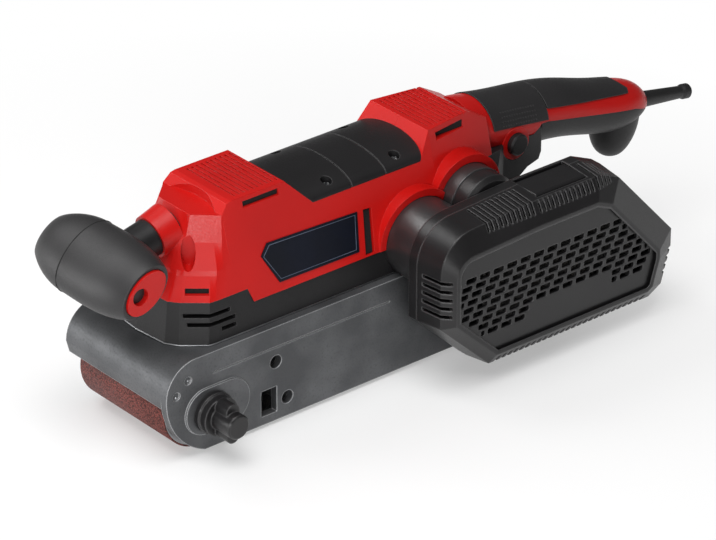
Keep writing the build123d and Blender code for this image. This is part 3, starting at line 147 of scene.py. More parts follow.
class SanderSizes(bpy.types.PropertyGroup):
    """Sizes of the patterns, the small pieces and the studio."""

    grain: length_of("Moulded grain", "Width of a grain in the moulded plastics", 0.9)
    edge: length_of("Edge round", "Radius that softens the moulded edges", 0.8)
    grit: length_of("Grit", "Width of a clump of abrasive grains", 0.85)
    wire: length_of("Wire", "Thickness of a winding's wire", 0.8)
    thread: length_of("Thread", "Spacing of the threads in the belt's cloth", 0.7)
    screw_head: length_of("Screw head", "Radius of a screw's head", 2.9)
    screw_crown: length_of("Screw crown", "Height of a screw's head", 1.9)
    screw_shank: length_of("Screw shank", "Radius of a screw's shank", 1.5)
    dot: length_of("Grip dot", "Radius of a dot on the soft grip", 0.55)
    seam: length_of("Grip seam", "Radius of the dark line at the front grip's seam", 0.6)
    # The deck lip's line is a painted highlight along the deck's edge.
    lip_highlight: length_of("Deck lip", "Radius of the bright line round the base band's foot", 0.4)
    line: length_of("Label line", "Radius of the line inside the label's edge", 0.25)
    cap_hole: length_of("Cap hole", "Width of the hole in the front grip's cap", 10.0)
    brick_length: length_of("Grille opening", "Length of an opening in the dust box's grille", 7.8)
    brick_height: length_of("Grille opening height", "Height of an opening in the grille", 3.5)
    brick_pitch: length_of("Grille pitch", "Spacing of the openings along a row", 10.03)
    row_pitch: length_of("Grille row", "Spacing of the grille's rows", 4.55)
    row_shift: length_of("Grille shift", "How far each lower row of openings moves forward", 2.95)
    pleats: bpy.props.IntProperty(name="Pleats", description="Folds of the dust filter", min=2, default=16)
    lens: bpy.props.FloatProperty(
        name="Lens", description="Focal length in image widths", min=1, default=4500 / 716
    )
    azimuth: angle_of("Azimuth", "Camera's turn about the upright", -40.0)
    elevation: angle_of("Elevation", "Camera's height angle", 28.42)
    roll: angle_of("Roll", "Camera's turn about its own line", 0.19)
    distance: length_of("Distance", "Camera's distance along its line", 2548.15)
    aside: length_of("Aside", "Camera's move to the right", 38.242)
    raised: length_of("Raised", "Camera's move upward", 53.102)


# Materials


def adder(tree):
    """The function that adds a node to a tree."""

    def add(kind, sockets=None, **settings):
        """Adds a node with its settings, and fills its sockets, by name or number, with values or links."""
        made = tree.nodes.new(kind)
        for name, value in settings.items():
            setattr(made, name, value)
        live = [socket for socket in made.inputs if socket.enabled]
        for key, filling in (sockets or {}).items():
            socket = live[key] if isinstance(key, int) else next(each for each in live if each.name == key)
            values = filling if isinstance(filling, list) else [filling]
            for value in values:
                if isinstance(value, bpy.types.Node):
                    value = next(each for each in value.outputs if each.enabled)
                if isinstance(value, bpy.types.NodeSocket):
                    tree.links.new(value, socket)
                else:
                    socket.default_value = value
        return made

    return add


def start_material(name):
    """An empty node material, the function that adds to its tree, and its object coordinates."""
    material = bpy.data.materials.new(name)
    material.use_nodes = True
    material.node_tree.nodes.clear()
    add = adder(material.node_tree)
    return material, add, add("ShaderNodeTexCoord").outputs["Object"]


def end_material(material, add, tones, rough, relief, others=None):
    """Ends a material: mixed tones, a range of roughness and a relief, each given as a node's sockets."""
    sockets = {
        "Base Color": add("ShaderNodeMix", tones, data_type="RGBA"),
        "Roughness": add("ShaderNodeMapRange", rough),
        "Normal": add("ShaderNodeBump", relief),
    }
    surface = add("ShaderNodeBsdfPrincipled", {**sockets, **(others or {})})
    add("ShaderNodeOutputMaterial", {"Surface": surface})
    return material


def grained(
    name, tones, grain, patch, edge, roughness, bump, specular=0.5, metallic=0.0, sheen=0.0, wear_and_highlight=0.5
):
    """A grained surface in a main tone that drifts to its shade, with rounded edges lighter in a third tone:
    partly wear, partly a painted highlight.
    """
    main, shade, worn_and_lit = [linear(tone) if isinstance(tone, str) else tone for tone in tones]
    material, add, place = start_material(name)
    fine = add("ShaderNodeTexNoise", {"Vector": place, "Scale": 1 / grain, "Detail": 3.0})
    slow = add("ShaderNodeTexNoise", {"Vector": place, "Scale": 1 / patch, "Detail": 2.0})
    drift = add("ShaderNodeMapRange", {"Value": slow, "From Min": 0.35, "From Max": 0.65})
    speck = add("ShaderNodeMapRange", {"Value": fine, "From Min": 0.55, "From Max": 0.75, "To Max": 0.6})
    rounded = add("ShaderNodeBevel", {"Radius": edge}, samples=6)
    flat = add("ShaderNodeNewGeometry").outputs["Normal"]
    turned = add("ShaderNodeVectorMath", {0: rounded, 1: flat}, operation="DOT_PRODUCT")
    # Rounded edges turn towards the third tone: partly wear, and partly a painted highlight along the edges.
    rubbed_and_lit = add("ShaderNodeMapRange", {"Value": turned, "From Min": 0.98, "From Max": 0.75, "To Max": wear_and_highlight})
    tone = add("ShaderNodeMix", {"Factor": drift, "A": main, "B": shade}, data_type="RGBA")
    flecked = add("ShaderNodeMix", {"Factor": speck, "A": tone, "B": shade}, data_type="RGBA")
    edged = {"Factor": rubbed_and_lit, "A": flecked, "B": worn_and_lit}
    smoothest, roughest = roughness - 0.05, roughness + 0.07
    rough = {"Value": fine, "From Min": 0.3, "From Max": 0.7, "To Min": smoothest, "To Max": roughest}
    relief = {"Strength": bump, "Distance": grain / 3, "Height": fine, "Normal": rounded}
    gloss = {"Metallic": metallic, "Specular IOR Level": specular}
    nap = {"Sheen Weight": sheen, "Sheen Roughness": 0.4}
    return end_material(material, add, edged, rough, relief, {**gloss, **nap})


def abrasive_grains(colours, sizes):
    """Aluminium oxide grains in resin: sharp specks of red-brown, dull, with dark resin between them.

    Single grains of about 0.3 mm are too fine to show, so clumps of them are drawn.
    """
    material, add, place = start_material("aluminium_oxide_grains")
    bond = colours.grit_bond
    cells = add("ShaderNodeTexVoronoi", {"Vector": place, "Scale": 1 / sizes.grit}, feature="F1")
    chance = add("ShaderNodeSeparateColor", {"Color": cells.outputs["Color"]}).outputs["Red"]
    broad = add("ShaderNodeTexNoise", {"Vector": place, "Scale": 1 / (9 * MM), "Detail": 2.0})
    away = cells.outputs["Distance"]
    peak = {"Value": away, "From Min": 0.15, "From Max": 0.75, "To Min": 1.0, "To Max": 0.0}
    grain = add("ShaderNodeMapRange", peak)
    dark = add("ShaderNodeMapRange", {"Value": chance, "From Min": 0.55, "To Max": 0.7})
    loaded = add("ShaderNodeMapRange", {"Value": broad, "From Min": 0.4, "From Max": 0.7, "To Max": 0.25})
    tone = add("ShaderNodeMix", {"Factor": grain, "A": bond, "B": colours.grit}, data_type="RGBA")
    speck = add("ShaderNodeMix", {"Factor": dark, "A": tone, "B": bond}, data_type="RGBA")
    clogged = {"Factor": loaded, "A": speck, "B": bond}
    rough = {"Value": chance, "To Min": 0.65, "To Max": 0.9}
    relief = {"Strength": 0.7, "Distance": 0.25 * MM, "Height": grain}
    return end_material(material, add, clogged, rough, relief)


def belt_cloth(colours, sizes):
    """Woven cotton back of the belt: matt, crossed tan threads, drawn coarser than real so that they show."""
    material, add, place = start_material("woven_cotton_back")
    scale = WAVE / sizes.thread
    turned = add("ShaderNodeMapping", {"Vector": place, "Scale": (1.0, 0.0, 1.0)})
    warp = add("ShaderNodeTexWave", {"Vector": turned, "Scale": scale}, bands_direction="DIAGONAL")
    weft = add("ShaderNodeTexWave", {"Vector": place, "Scale": scale}, bands_direction="Y")
    crossed = {0: warp.outputs["Fac"], 1: weft.outputs["Fac"]}
    weave = add("ShaderNodeMath", crossed, operation="MULTIPLY")
    tones = {"Factor": weave, "A": colours.cloth_shade, "B": colours.cloth}
    rough = {"Value": weave, "To Min": 0.95, "To Max": 0.8}
    relief = {"Strength": 0.5, "Distance": 0.2 * MM, "Height": weave}
    return end_material(material, add, tones, rough, relief)


def wound_copper(colours, sizes):
    """Enamelled copper wire laid side by side: bright lines with brown varnish between them."""
    material, add, place = start_material("enamelled_copper_wire")
    winding = {"Vector": place, "Scale": WAVE / sizes.wire, "Distortion": 0.6}
    lines = add("ShaderNodeTexWave", winding, bands_direction="X").outputs["Fac"]
    tones = {"Factor": lines, "A": colours.copper_shade, "B": colours.copper}
    rough = {"Value": lines, "To Min": 0.5, "To Max": 0.3}
    relief = {"Strength": 0.6, "Distance": 0.3 * MM, "Height": lines}
    return end_material(material, add, tones, rough, relief, {"Metallic": 0.85})


def filter_felt(colours):
    """Needled polyester felt: a dark mat of crossed fibres with no shine, browner where dust has settled."""
    material, add, place = start_material("needled_polyester_felt")
    mat = {"Vector": place, "Scale": 1 / (1.5 * MM), "Detail": 6.0, "Distortion": 3.0}
    fibres = add("ShaderNodeTexNoise", mat)
    dust = add("ShaderNodeTexNoise", {"Vector": place, "Scale": 1 / (18 * MM), "Detail": 3.0})
    caught = add("ShaderNodeMapRange", {"Value": dust, "From Min": 0.45, "From Max": 0.7, "To Max": 0.35})
    tones = {"Factor": caught, "A": colours.felt, "B": colours.felt_dust}
    rough = {"Value": fibres, "To Min": 0.85, "To Max": 1.0}
    relief = {"Strength": 0.6, "Distance": 0.4 * MM, "Height": fibres}
    return end_material(material, add, tones, rough, relief, {"Sheen Weight": 0.1})


def show(material, *names):
    """Gives CAD nodes their finish."""
    for name in names:
        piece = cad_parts[name]
        if not piece.material_slots:
            piece.data.materials.append(material)
        for slot in piece.material_slots:
            slot.material = material


# Meshes and Geometry Nodes


def put(name, data):
    """A new object in the scene."""
    made = bpy.data.objects.new(name, data)
    bpy.context.scene.collection.objects.link(made)
    return made


def point_mesh(name, places, edges=()):
    """A mesh of points in millimetres and the edges between them."""
    mesh = bpy.data.meshes.new(name)
    mesh.from_pydata([[value * MM for value in place] for place in places], edges, [])
    return mesh


def ring(count):
    """Edges that join the first points of a mesh in a closed loop."""
    return [(i, (i + 1) % count) for i in range(count)]


def carry(mesh, label, kind, values):
    """Gives each point of a mesh a number or a vector of its own, for a tree to read."""
    key = "vector" if kind == "FLOAT_VECTOR" else "value"
    mesh.attributes.new(label, kind, "POINT").data.foreach_set(key, values)


def merged_copy(name):
    """A copy of a CAD node's mesh with its loose triangles merged."""
    work = bmesh.new()
    work.from_mesh(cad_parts[name].data)
    bmesh.ops.remove_doubles(work, verts=work.verts, dist=1e-6)
    mesh = bpy.data.meshes.new(name + "_copy")
    work.to_mesh(mesh)
    work.free()
    return mesh


def lowest_outline(node, axis):
    """The outline, in millimetres along the other two axes, of a CAD node's lowest face along an axis."""
    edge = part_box(node)[0][axis] + NEAR
    across, up = [i for i in range(3) if i != axis]
    face = [(v.co[across] / MM, v.co[up] / MM) for v in merged_copy(node).vertices if v.co[axis] < edge]
    return [face[i] for i in convex_hull_2d(face)]


def start_tree(name, floats=(), ints=(), vectors=()):
    """Starts a Geometry Nodes tree with named inputs: the function that adds to it, and what it is given."""
    tree = bpy.data.node_groups.new(name, "GeometryNodeTree")
    tree.interface.new_socket("Geometry", in_out="INPUT", socket_type="NodeSocketGeometry")
    for kind, labels in (("Float", floats), ("Int", ints), ("Vector", vectors)):
        for label in labels:
            tree.interface.new_socket(label, in_out="INPUT", socket_type="NodeSocket" + kind)
    tree.interface.new_socket("Geometry", in_out="OUTPUT", socket_type="NodeSocketGeometry")
    add = adder(tree)
    return add, add("NodeGroupInput").outputs


def end_tree(add, geometry, material, second=None):
    """Ends a tree: real geometry in a material, and some faces in a second one. Gives the whole tree."""
    real = add("GeometryNodeRealizeInstances", {"Geometry": geometry})
    shown = add("GeometryNodeSetMaterial", {"Geometry": real, "Material": material})
    if second:
        shown = add("GeometryNodeSetMaterial", {"Geometry": shown, **second})
    return add("NodeGroupOutput", {"Geometry": shown}).id_data


def grow(name, tree, values, body, base=None):
    """A new piece: a base mesh shaped by a tree with these inputs, made plain and carried by a body."""
    piece = put(name, base or point_mesh(f"{name}_start", [(0, 0, 0)]))
    modifier = piece.modifiers.new(name, "NODES")
    modifier.node_group = tree
    for item in tree.interface.items_tree:
        if item.in_out == "INPUT" and item.name in values:
            modifier[item.identifier] = values[item.name]
    shaped = piece.evaluated_get(bpy.context.evaluated_depsgraph_get())
    mesh = bpy.data.meshes.new_from_object(shaped)
    piece.modifiers.remove(modifier)
    piece.data = mesh
    mesh.name = name
    if not mesh.polygons:
        raise RuntimeError(f"{name} came out empty")
    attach(piece, body)
    return piece


def line_piece(name, places, radius, material):
    """A thin round line on the frame, along a closed loop of points in millimetres."""
    add, given = start_tree(name, floats=("Radius",))
    path = add("GeometryNodeMeshToCurve", {"Mesh": given["Geometry"]})
    section = add("GeometryNodeCurvePrimitiveCircle", {"Resolution": 8, "Radius": given["Radius"]})
    swept = add("GeometryNodeCurveToMesh", {"Curve": path, "Profile Curve": section})
    loop = point_mesh(f"{name}_loop", places, ring(len(places)))
    return grow(name, end_tree(add, swept, material), {"Radius": radius}, "frame", loop)


def belt_tree(grit, cloth):
    """An endless belt round two rollers along Y: grains outside and on its edges, cloth inside."""
    add, given = start_tree("belt", floats=("Reach", "Radius", "Width", "Thickness"))
    half = add("ShaderNodeMath", {0: given["Thickness"], 1: 0.5}, operation="MULTIPLY")
    radius = add("ShaderNodeMath", {0: given["Radius"], 1: half}, operation="SUBTRACT")
    height = add("ShaderNodeMath", {0: radius, 1: 2.0}, operation="MULTIPLY")
    length = add("ShaderNodeMath", {0: height, 1: given["Reach"]}, operation="ADD")
    loop = add("GeometryNodeCurvePrimitiveQuadrilateral", {"Width": length, "Height": height})
    rounding = {"Curve": loop, "Radius": radius, "Count": 24, "Limit Radius": True}
    path = add("GeometryNodeFilletCurve", rounding, mode="POLY")
    strip = {"Width": given["Thickness"], "Height": given["Width"]}
    section = add("GeometryNodeCurvePrimitiveQuadrilateral", strip)
    swept = add("GeometryNodeCurveToMesh", {"Curve": path, "Profile Curve": section})
    lift = add("ShaderNodeCombineXYZ", {"Z": given["Radius"]})
    standing = {"Geometry": swept, "Rotation": (math.pi / 2, 0, 0), "Translation": lift}
    belt = add("GeometryNodeTransform", standing)
    # A face looks inwards where its normal points back to the line between the two roller centres.
    place = add("ShaderNodeSeparateXYZ", {"Vector": add("GeometryNodeInputPosition")})
    centre = add("ShaderNodeMath", {0: given["Reach"], 1: 0.5}, operation="MULTIPLY")
    start = add("ShaderNodeMath", {0: centre, 1: -1.0}, operation="MULTIPLY")
    near = add("ShaderNodeClamp", {"Value": place.outputs["X"], "Min": start, "Max": centre})
    aside = add("ShaderNodeMath", {0: place.outputs["X"], 1: near}, operation="SUBTRACT")
    above = add("ShaderNodeMath", {0: place.outputs["Z"], 1: given["Radius"]}, operation="SUBTRACT")
    outwards = add("ShaderNodeCombineXYZ", {"X": aside, "Z": above})
    facing = add("GeometryNodeInputNormal")
    looks = add("ShaderNodeVectorMath", {0: outwards, 1: facing}, operation="DOT_PRODUCT")
    inside = add("ShaderNodeMath", {0: looks, 1: -0.001}, operation="LESS_THAN")
    return end_tree(add, belt, grit, {"Selection": inside, "Material": cloth})


def spring_tree(material):
    """A coil of round wire along X."""
    add, given = start_tree("spring", floats=("Turns", "Mean radius", "Length", "Wire"), vectors=("Place",))
    rise = {"Resolution": 28, "Rotations": given["Turns"], "Height": given["Length"]}
    radii = {"Start Radius": given["Mean radius"], "End Radius": given["Mean radius"]}
    coil = add("GeometryNodeCurveSpiral", {**rise, **radii})
    wire = add("GeometryNodeCurvePrimitiveCircle", {"Resolution": 12, "Radius": given["Wire"]})
    swept = add("GeometryNodeCurveToMesh", {"Curve": coil, "Profile Curve": wire, "Fill Caps": True})
    smooth = add("GeometryNodeSetShadeSmooth", {"Geometry": swept})
    lying = {"Geometry": smooth, "Rotation": (0, math.pi / 2, 0), "Translation": given["Place"]}
    return end_tree(add, add("GeometryNodeTransform", lying), material)


def screw_tree(material):
    """Pan-head screws with a cross recess, one on each point, along its axis and as long as its reach."""
    add, given = start_tree("screws", floats=("Head", "Crown", "Shank"))
    # Shares of the head's radius: the dome's top, the dome's foot, and an arm of the recess along and across.
    # The dome starts a little inside the rim and below its top, so that no two faces lie on each other.
    waist, inside, arm, blade = [
        add("ShaderNodeMath", {0: given["Head"], 1: share}, operation="MULTIPLY")
        for share in (0.7, 0.97, 1.2, 0.26)
    ]
    rim_height = add("ShaderNodeMath", {0: given["Crown"], 1: 0.5}, operation="MULTIPLY")
    overlap = add("ShaderNodeMath", {0: rim_height, 1: 0.9}, operation="MULTIPLY")
    radius = given["Head"]
    straight = {"Vertices": 24, "Radius Top": radius, "Radius Bottom": radius, "Depth": rim_height}
    rim = add("GeometryNodeMeshCone", straight)
    tapered = {"Vertices": 24, "Radius Top": waist, "Radius Bottom": inside, "Depth": rim_height}
    dome = add("GeometryNodeMeshCone", tapered)
    lift = add("ShaderNodeCombineXYZ", {"Z": overlap})
    raised = add("GeometryNodeTransform", {"Geometry": dome, "Translation": lift})
    head = add("GeometryNodeMeshBoolean", {"Mesh": [rim, raised]}, operation="UNION", solver="EXACT")
    top = add("ShaderNodeCombineXYZ", {"Z": given["Crown"]})
    for across, along in ((arm, blade), (blade, arm)):
        size = add("ShaderNodeCombineXYZ", {"X": across, "Y": along, "Z": given["Crown"]})
        bit = add("GeometryNodeMeshCube", {"Size": size})
        sunk = add("GeometryNodeTransform", {"Geometry": bit, "Translation": top})
        cut = {"Mesh 1": head, "Mesh 2": sunk}
        head = add("GeometryNodeMeshBoolean", cut, operation="DIFFERENCE", solver="EXACT")
    axis = add("GeometryNodeInputNamedAttribute", {"Name": "axis"}, data_type="FLOAT_VECTOR")
    reach = add("GeometryNodeInputNamedAttribute", {"Name": "reach"}, data_type="FLOAT")
    turn = add("FunctionNodeAlignRotationToVector", {"Vector": axis}, axis="Z")
    round_bar = {"Vertices": 16, "Radius Top": given["Shank"], "Radius Bottom": given["Shank"], "Depth": 1.0}
    bar = add("GeometryNodeMeshCone", round_bar)
    hung = add("GeometryNodeTransform", {"Geometry": bar, "Translation": (0, 0, -1.0)})
    stretch = add("ShaderNodeCombineXYZ", {"X": 1.0, "Y": 1.0, "Z": reach})
    seats = {"Points": given["Geometry"], "Rotation": turn}
    heads = add("GeometryNodeInstanceOnPoints", {**seats, "Instance": head})
    shanks = add("GeometryNodeInstanceOnPoints", {**seats, "Instance": hung, "Scale": stretch})
    return end_tree(add, add("GeometryNodeJoinGeometry", {"Geometry": [heads, shanks]}), material)


def dot_tree(name, material):
    """Rows of low round dots, cast from one side onto a skin."""
    vectors = ("Place", "Turn", "Cast")
    add, given = start_tree(name, floats=("Long", "Wide", "Dot"), ints=("Columns", "Rows"), vectors=vectors)
    spread = {"Size X": given["Long"], "Size Y": given["Wide"]}
    counts = {"Vertices X": given["Columns"], "Vertices Y": given["Rows"]}
    grid = add("GeometryNodeMeshGrid", {**spread, **counts})
    upright = add("GeometryNodeTransform", {"Geometry": grid, "Rotation": (math.pi / 2, 0, 0)})
    placed = {"Geometry": upright, "Translation": given["Place"], "Rotation": given["Turn"]}
    field = add("GeometryNodeTransform", placed)
    hit = add("GeometryNodeRaycast", {"Target Geometry": given["Geometry"], "Ray Direction": given["Cast"]})
    facing = add("FunctionNodeAlignRotationToVector", {"Vector": hit.outputs["Hit Normal"]}, axis="Z")
    ball = add("GeometryNodeMeshIcoSphere", {"Radius": given["Dot"], "Subdivisions": 2})
    low = add("GeometryNodeTransform", {"Geometry": ball, "Scale": (1.0, 1.0, 0.5)})
    smooth = add("GeometryNodeSetShadeSmooth", {"Geometry": low})
    dots = add("GeometryNodeInstanceOnPoints", {"Points": field, "Instance": smooth, "Rotation": facing})
    landing = {"Geometry": dots, "Selection": hit.outputs["Is Hit"], "Position": hit.outputs["Hit Position"]}
    return end_tree(add, add("GeometryNodeSetPosition", landing), material)


def plate_tree(name, material):
    """A flat plate on a closed outline of edges, with a rounded opening at each point that has a length."""
    floats = ("Height", "Corner", "Thickness")
    add, given = start_tree(name, floats=floats, ints=("Steps",), vectors=("Back",))
    edge = add("GeometryNodeMeshToCurve", {"Mesh": given["Geometry"]})
    length = add("GeometryNodeInputNamedAttribute", {"Name": "opening"}, data_type="FLOAT")
    open_here = add("ShaderNodeMath", {0: length, 1: 0.1 * MM}, operation="GREATER_THAN")
    centres = add("GeometryNodeMeshToPoints", {"Mesh": given["Geometry"], "Selection": open_here})
    brick = add("GeometryNodeCurvePrimitiveQuadrilateral", {"Width": 1.0, "Height": given["Height"]})
    stretch = add("ShaderNodeCombineXYZ", {"X": length, "Y": 1.0, "Z": 1.0})
    bricks = add("GeometryNodeInstanceOnPoints", {"Points": centres, "Instance": brick, "Scale": stretch})
    drawn = add("GeometryNodeRealizeInstances", {"Geometry": bricks})
    rounding = {"Curve": drawn, "Radius": given["Corner"], "Count": given["Steps"], "Limit Radius": True}
    rounded = add("GeometryNodeFilletCurve", rounding, mode="POLY")
    plan = add("GeometryNodeJoinGeometry", {"Geometry": [edge, rounded]})
    sheet = add("GeometryNodeFillCurve", {"Curve": plan}, mode="TRIANGLES")
    raised = {"Mesh": sheet, "Offset Scale": given["Thickness"], "Individual": False}
    front = add("GeometryNodeExtrudeMesh", raised, mode="FACES")
    back = add("GeometryNodeFlipFaces", {"Mesh": sheet})
    both = add("GeometryNodeJoinGeometry", {"Geometry": [front, back]})
    closed = add("GeometryNodeMergeByDistance", {"Geometry": both, "Distance": 0.01 * MM})
    standing = {"Geometry": closed, "Rotation": (math.pi / 2, 0, 0), "Translation": given["Back"]}
    return end_tree(add, add("GeometryNodeTransform", standing), material)


def pierced_plate(name, node, body, material, centres, lengths, values):
    """A plate in place of a flat CAD node, with openings: centres in millimetres, lengths in metres."""
    low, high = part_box(node)
    outline = lowest_outline(node, 1)
    base = point_mesh(f"{name}_plan", [(x, z, 0) for x, z in outline + centres], ring(len(outline)))
    carry(base, "opening", "FLOAT", [0.0] * len(outline) + lengths)
    values = {**values, "Thickness": high[1] - low[1], "Back": (0, high[1], 0)}
    plate = grow(name, plate_tree(name, material), values, body, base)
    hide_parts(node)
    return plate


def block_tree(name, material):
    """A block at each point, with the size and the turn that the point carries."""
    add, given = start_tree(name)
    points = add("GeometryNodeMeshToPoints", {"Mesh": given["Geometry"]})
    size, turn = [
        add("GeometryNodeInputNamedAttribute", {"Name": label}, data_type="FLOAT_VECTOR")
        for label in ("size", "turn")
    ]
    cube = add("GeometryNodeMeshCube", {"Size": (1, 1, 1)})
    placed = {"Points": points, "Instance": cube, "Rotation": turn, "Scale": size}
    return end_tree(add, add("GeometryNodeInstanceOnPoints", placed), material)


def pleat_tree(material):
    """A folded sheet: a zigzag along X, upright along Z."""
    floats = ("Pitch", "Depth", "Height", "Thickness")
    add, given = start_tree("pleats", floats=floats, ints=("Folds",), vectors=("Place",))
    step = add("ShaderNodeCombineXYZ", {"X": given["Pitch"]})
    run = {"Count": given["Folds"], "Start Location": given["Place"], "Offset": step}
    line = add("GeometryNodeMeshLine", run)
    odd = add("ShaderNodeMath", {0: add("GeometryNodeInputIndex"), 1: 2.0}, operation="MODULO")
    deep = add("ShaderNodeMath", {0: odd, 1: given["Depth"]}, operation="MULTIPLY")
    fold = add("ShaderNodeCombineXYZ", {"Y": deep})
    zigzag = add("GeometryNodeSetPosition", {"Geometry": line, "Offset": fold})
    path = add("GeometryNodeMeshToCurve", {"Mesh": zigzag})
    strip = {"Width": given["Thickness"], "Height": given["Height"]}
    section = add("GeometryNodeCurvePrimitiveQuadrilateral", strip)
    swept = add("GeometryNodeCurveToMesh", {"Curve": path, "Profile Curve": section, "Fill Caps": True})
    return end_tree(add, swept, material)


# Operators


class SanderOperator:
    """What the sander's operators share."""

    bl_options = {"REGISTER", "UNDO"}

    def settings(self):
        scene = bpy.context.scene
        return scene.sander_colours, scene.sander_sizes


class SANDER_OT_red_shells(SanderOperator, bpy.types.Operator):
    """Finishes the red motor shells, and makes the front grip's cap with its wide hole"""

    bl_idname = "sander.red_shells"
    bl_label = "Red shells"

    def execute(self, context):
        colours, sizes = self.settings()
        # Moulded ABS with a satin, spark-eroded skin: an even red, paler on its edges, with a broken sheen.
        # Its paler edges are partly wear and partly a painted highlight.
        red = grained(
            "satin_moulded_abs", (colours.red, colours.red_shade, colours.red_worn_and_lit), sizes.grain,
            patch=60 * MM, edge=0.45 * MM, roughness=0.36, bump=0.12, specular=0.3, wear_and_highlight=0.3,
        )
        show(red, "housing_left", "housing_right")
        # The cap's hole is wider in the photo than in the solid, and shows the black grip at its bottom.
        middle = (-136.1, 108.2)
        values = {"Height": sizes.cap_hole, "Corner": sizes.cap_hole / 2, "Steps": 10}
        cap = pierced_plate("bored_cap", "grip_cap", "frame", red, [middle], [sizes.cap_hole], values)
        return {"FINISHED"}


class SANDER_OT_black_mouldings(SanderOperator, bpy.types.Operator):
    """Finishes the black covers, box and knob, and makes the grille, the grip's seam and painted shade in the
    slots
    """

    bl_idname = "sander.black_mouldings"
    bl_label = "Black mouldings"

    def execute(self, context):
        colours, sizes = self.settings()
        # Glass-filled nylon from an eroded mould: near black, with a fine grain that spreads each highlight.
        # Its edges are lighter, partly with wear and partly with a painted highlight.
        black = grained(
            "glass_filled_nylon", (colours.black, colours.black_shade, colours.black_worn_and_lit), sizes.grain,
            patch=40 * MM, edge=sizes.edge, roughness=0.46, bump=0.25, specular=0.32,
        )
        # The same nylon with a finer grain for the hand: a lighter charcoal, painted light on the front grip,
        # and a broad, soft sheen.
        hand = grained(
            "fine_grained_nylon", ("#2A292A", "#242324", colours.black_worn_and_lit), sizes.grain,
            patch=40 * MM, edge=sizes.edge, roughness=0.48, bump=0.2,
        )
        # Moulded polypropylene, smoother than the nylon: as black, with a broad soft gloss on round edges.
        # Its edges are lighter, partly with wear and partly with a painted highlight.
        box = grained(
            "moulded_polypropylene", ("#1F1E1F", "#191819", colours.black_worn_and_lit), sizes.grain,
            patch=40 * MM, edge=1.4 * MM, roughness=0.33, bump=0.15, specular=0.42, wear_and_highlight=0.75,
        )
        # Polypropylene from a polished mould: the smoothest black, with a bright satin band down each drum.
        # Its tone is a little lighter than the box's black: painted light on the drums, besides their real
        # gloss.
        satin = grained(
            "polished_polypropylene", ("#292829", "#232223", colours.black_worn_and_lit), sizes.grain,
            patch=40 * MM, edge=1.0 * MM, roughness=0.34, bump=0.08, specular=1.0,
        )
        # A matt near-black nylon for the grip's parting line, a dark joint, and painted shade for the slots
        # where little light falls.
        joint_and_painted_shade = grained(
            "shaded_nylon", ("#0B0B0B", "#080808", "#0B0B0B"), 1 * MM,
            patch=9 * MM, edge=0.1 * MM, roughness=0.8, bump=0.0,
        )
        show(
            black,
            "vent_band", "rear_shell", "handle_lower", "trigger", "lock_button", "motor_cover", "grip_neck",
            "brush_holders", "trigger_switch", "cooling_fan",
        )
        show(hand, "front_grip_left", "front_grip_right")
        show(box, "dust_box", "dust_cover", "dust_latch", "drive_cover", "tracking_knob")
        show(satin, "dust_port", "drive_boss")
        self.make_seam(sizes, joint_and_painted_shade)
        self.make_painted_shade(joint_and_painted_shade)
        self.make_grille(sizes, box)
        return {"FINISHED"}

    def make_seam(self, sizes, joint_and_painted_shade):
        """The parting line of the front grip: a tilted oval in millimetres, kept inside the CAD box."""
        long, short, tilt = 22.65, 14.05, math.radians(38)
        middle_x, y, middle_z = -131.8, 13.0, 108.8
        steps = 72
        around = []
        for step in range(steps):
            turn = 2 * math.pi * step / steps
            a, b = long * math.cos(turn), short * math.sin(turn)
            x = middle_x + a * math.cos(tilt) - b * math.sin(tilt)
            z = middle_z + a * math.sin(tilt) + b * math.cos(tilt)
            around.append((max(x, CAD_BOX[0][0] / MM + sizes.seam / MM), y, z))
        line_piece("front_grip_seam", around, sizes.seam, joint_and_painted_shade)

    def make_painted_shade(self, joint_and_painted_shade):
        """Painted shade: dark blocks for the shadowed inside of the housing's air slots and of the upright
        recess beside the label.
        """
        # The slots of both humps and of the nose facet, on the left: centre and size in millimetres, and
        # the turn about Z in degrees.
        left = [
            ((-41.2, -22.5, 129.75), (24.7, 4.0, 3.4), 0.0),
            ((95.8, -21.3, 126.85), (22.3, 1.6, 4.2), 0.0),
            ((-87.8, -28.4, 90.0), (12.9, 1.0, 3.3), -39.8),
        ]
        blocks = []
        for (x, y, z), size, turn in left:
            for side in (1, -1):
                blocks.append(((x, side * y, z), size, (0, 0, side * turn)))
        # The recess is on the left only, and leans with the housing's side.
        blocks.append(((27.1, -33.4, 89.5), (5.3, 2.4, 25.0), (-14.5, 6.3, 0)))
        base = point_mesh("slot_points", [place for place, _, _ in blocks])
        carry(base, "size", "FLOAT_VECTOR", [width * MM for _, size, _ in blocks for width in size])
        carry(base, "turn", "FLOAT_VECTOR", [math.radians(angle) for _, _, turn in blocks for angle in turn])
        slot_shade_blocks = grow("slot_painted_shade", block_tree("slot_painted_shade", joint_and_painted_shade), {}, "frame", base)

    def make_grille(self, sizes, box):
        centres, lengths = self.find_openings(sizes, lowest_outline("dust_grille", 1))
        values = {"Height": sizes.brick_height, "Corner": 0.9 * MM, "Steps": 3}
        grille = pierced_plate("brick_grille", "dust_grille", "dust_box", box, centres, lengths, values)

    def find_openings(self, sizes, outline):
        """Centres in millimetres and lengths in metres of the openings, cut short at the panel's edge."""
        rows, columns = 9, 16
        first_x, first_z = 56.0, 71.7
        border, shortest = 2.6, 2.0
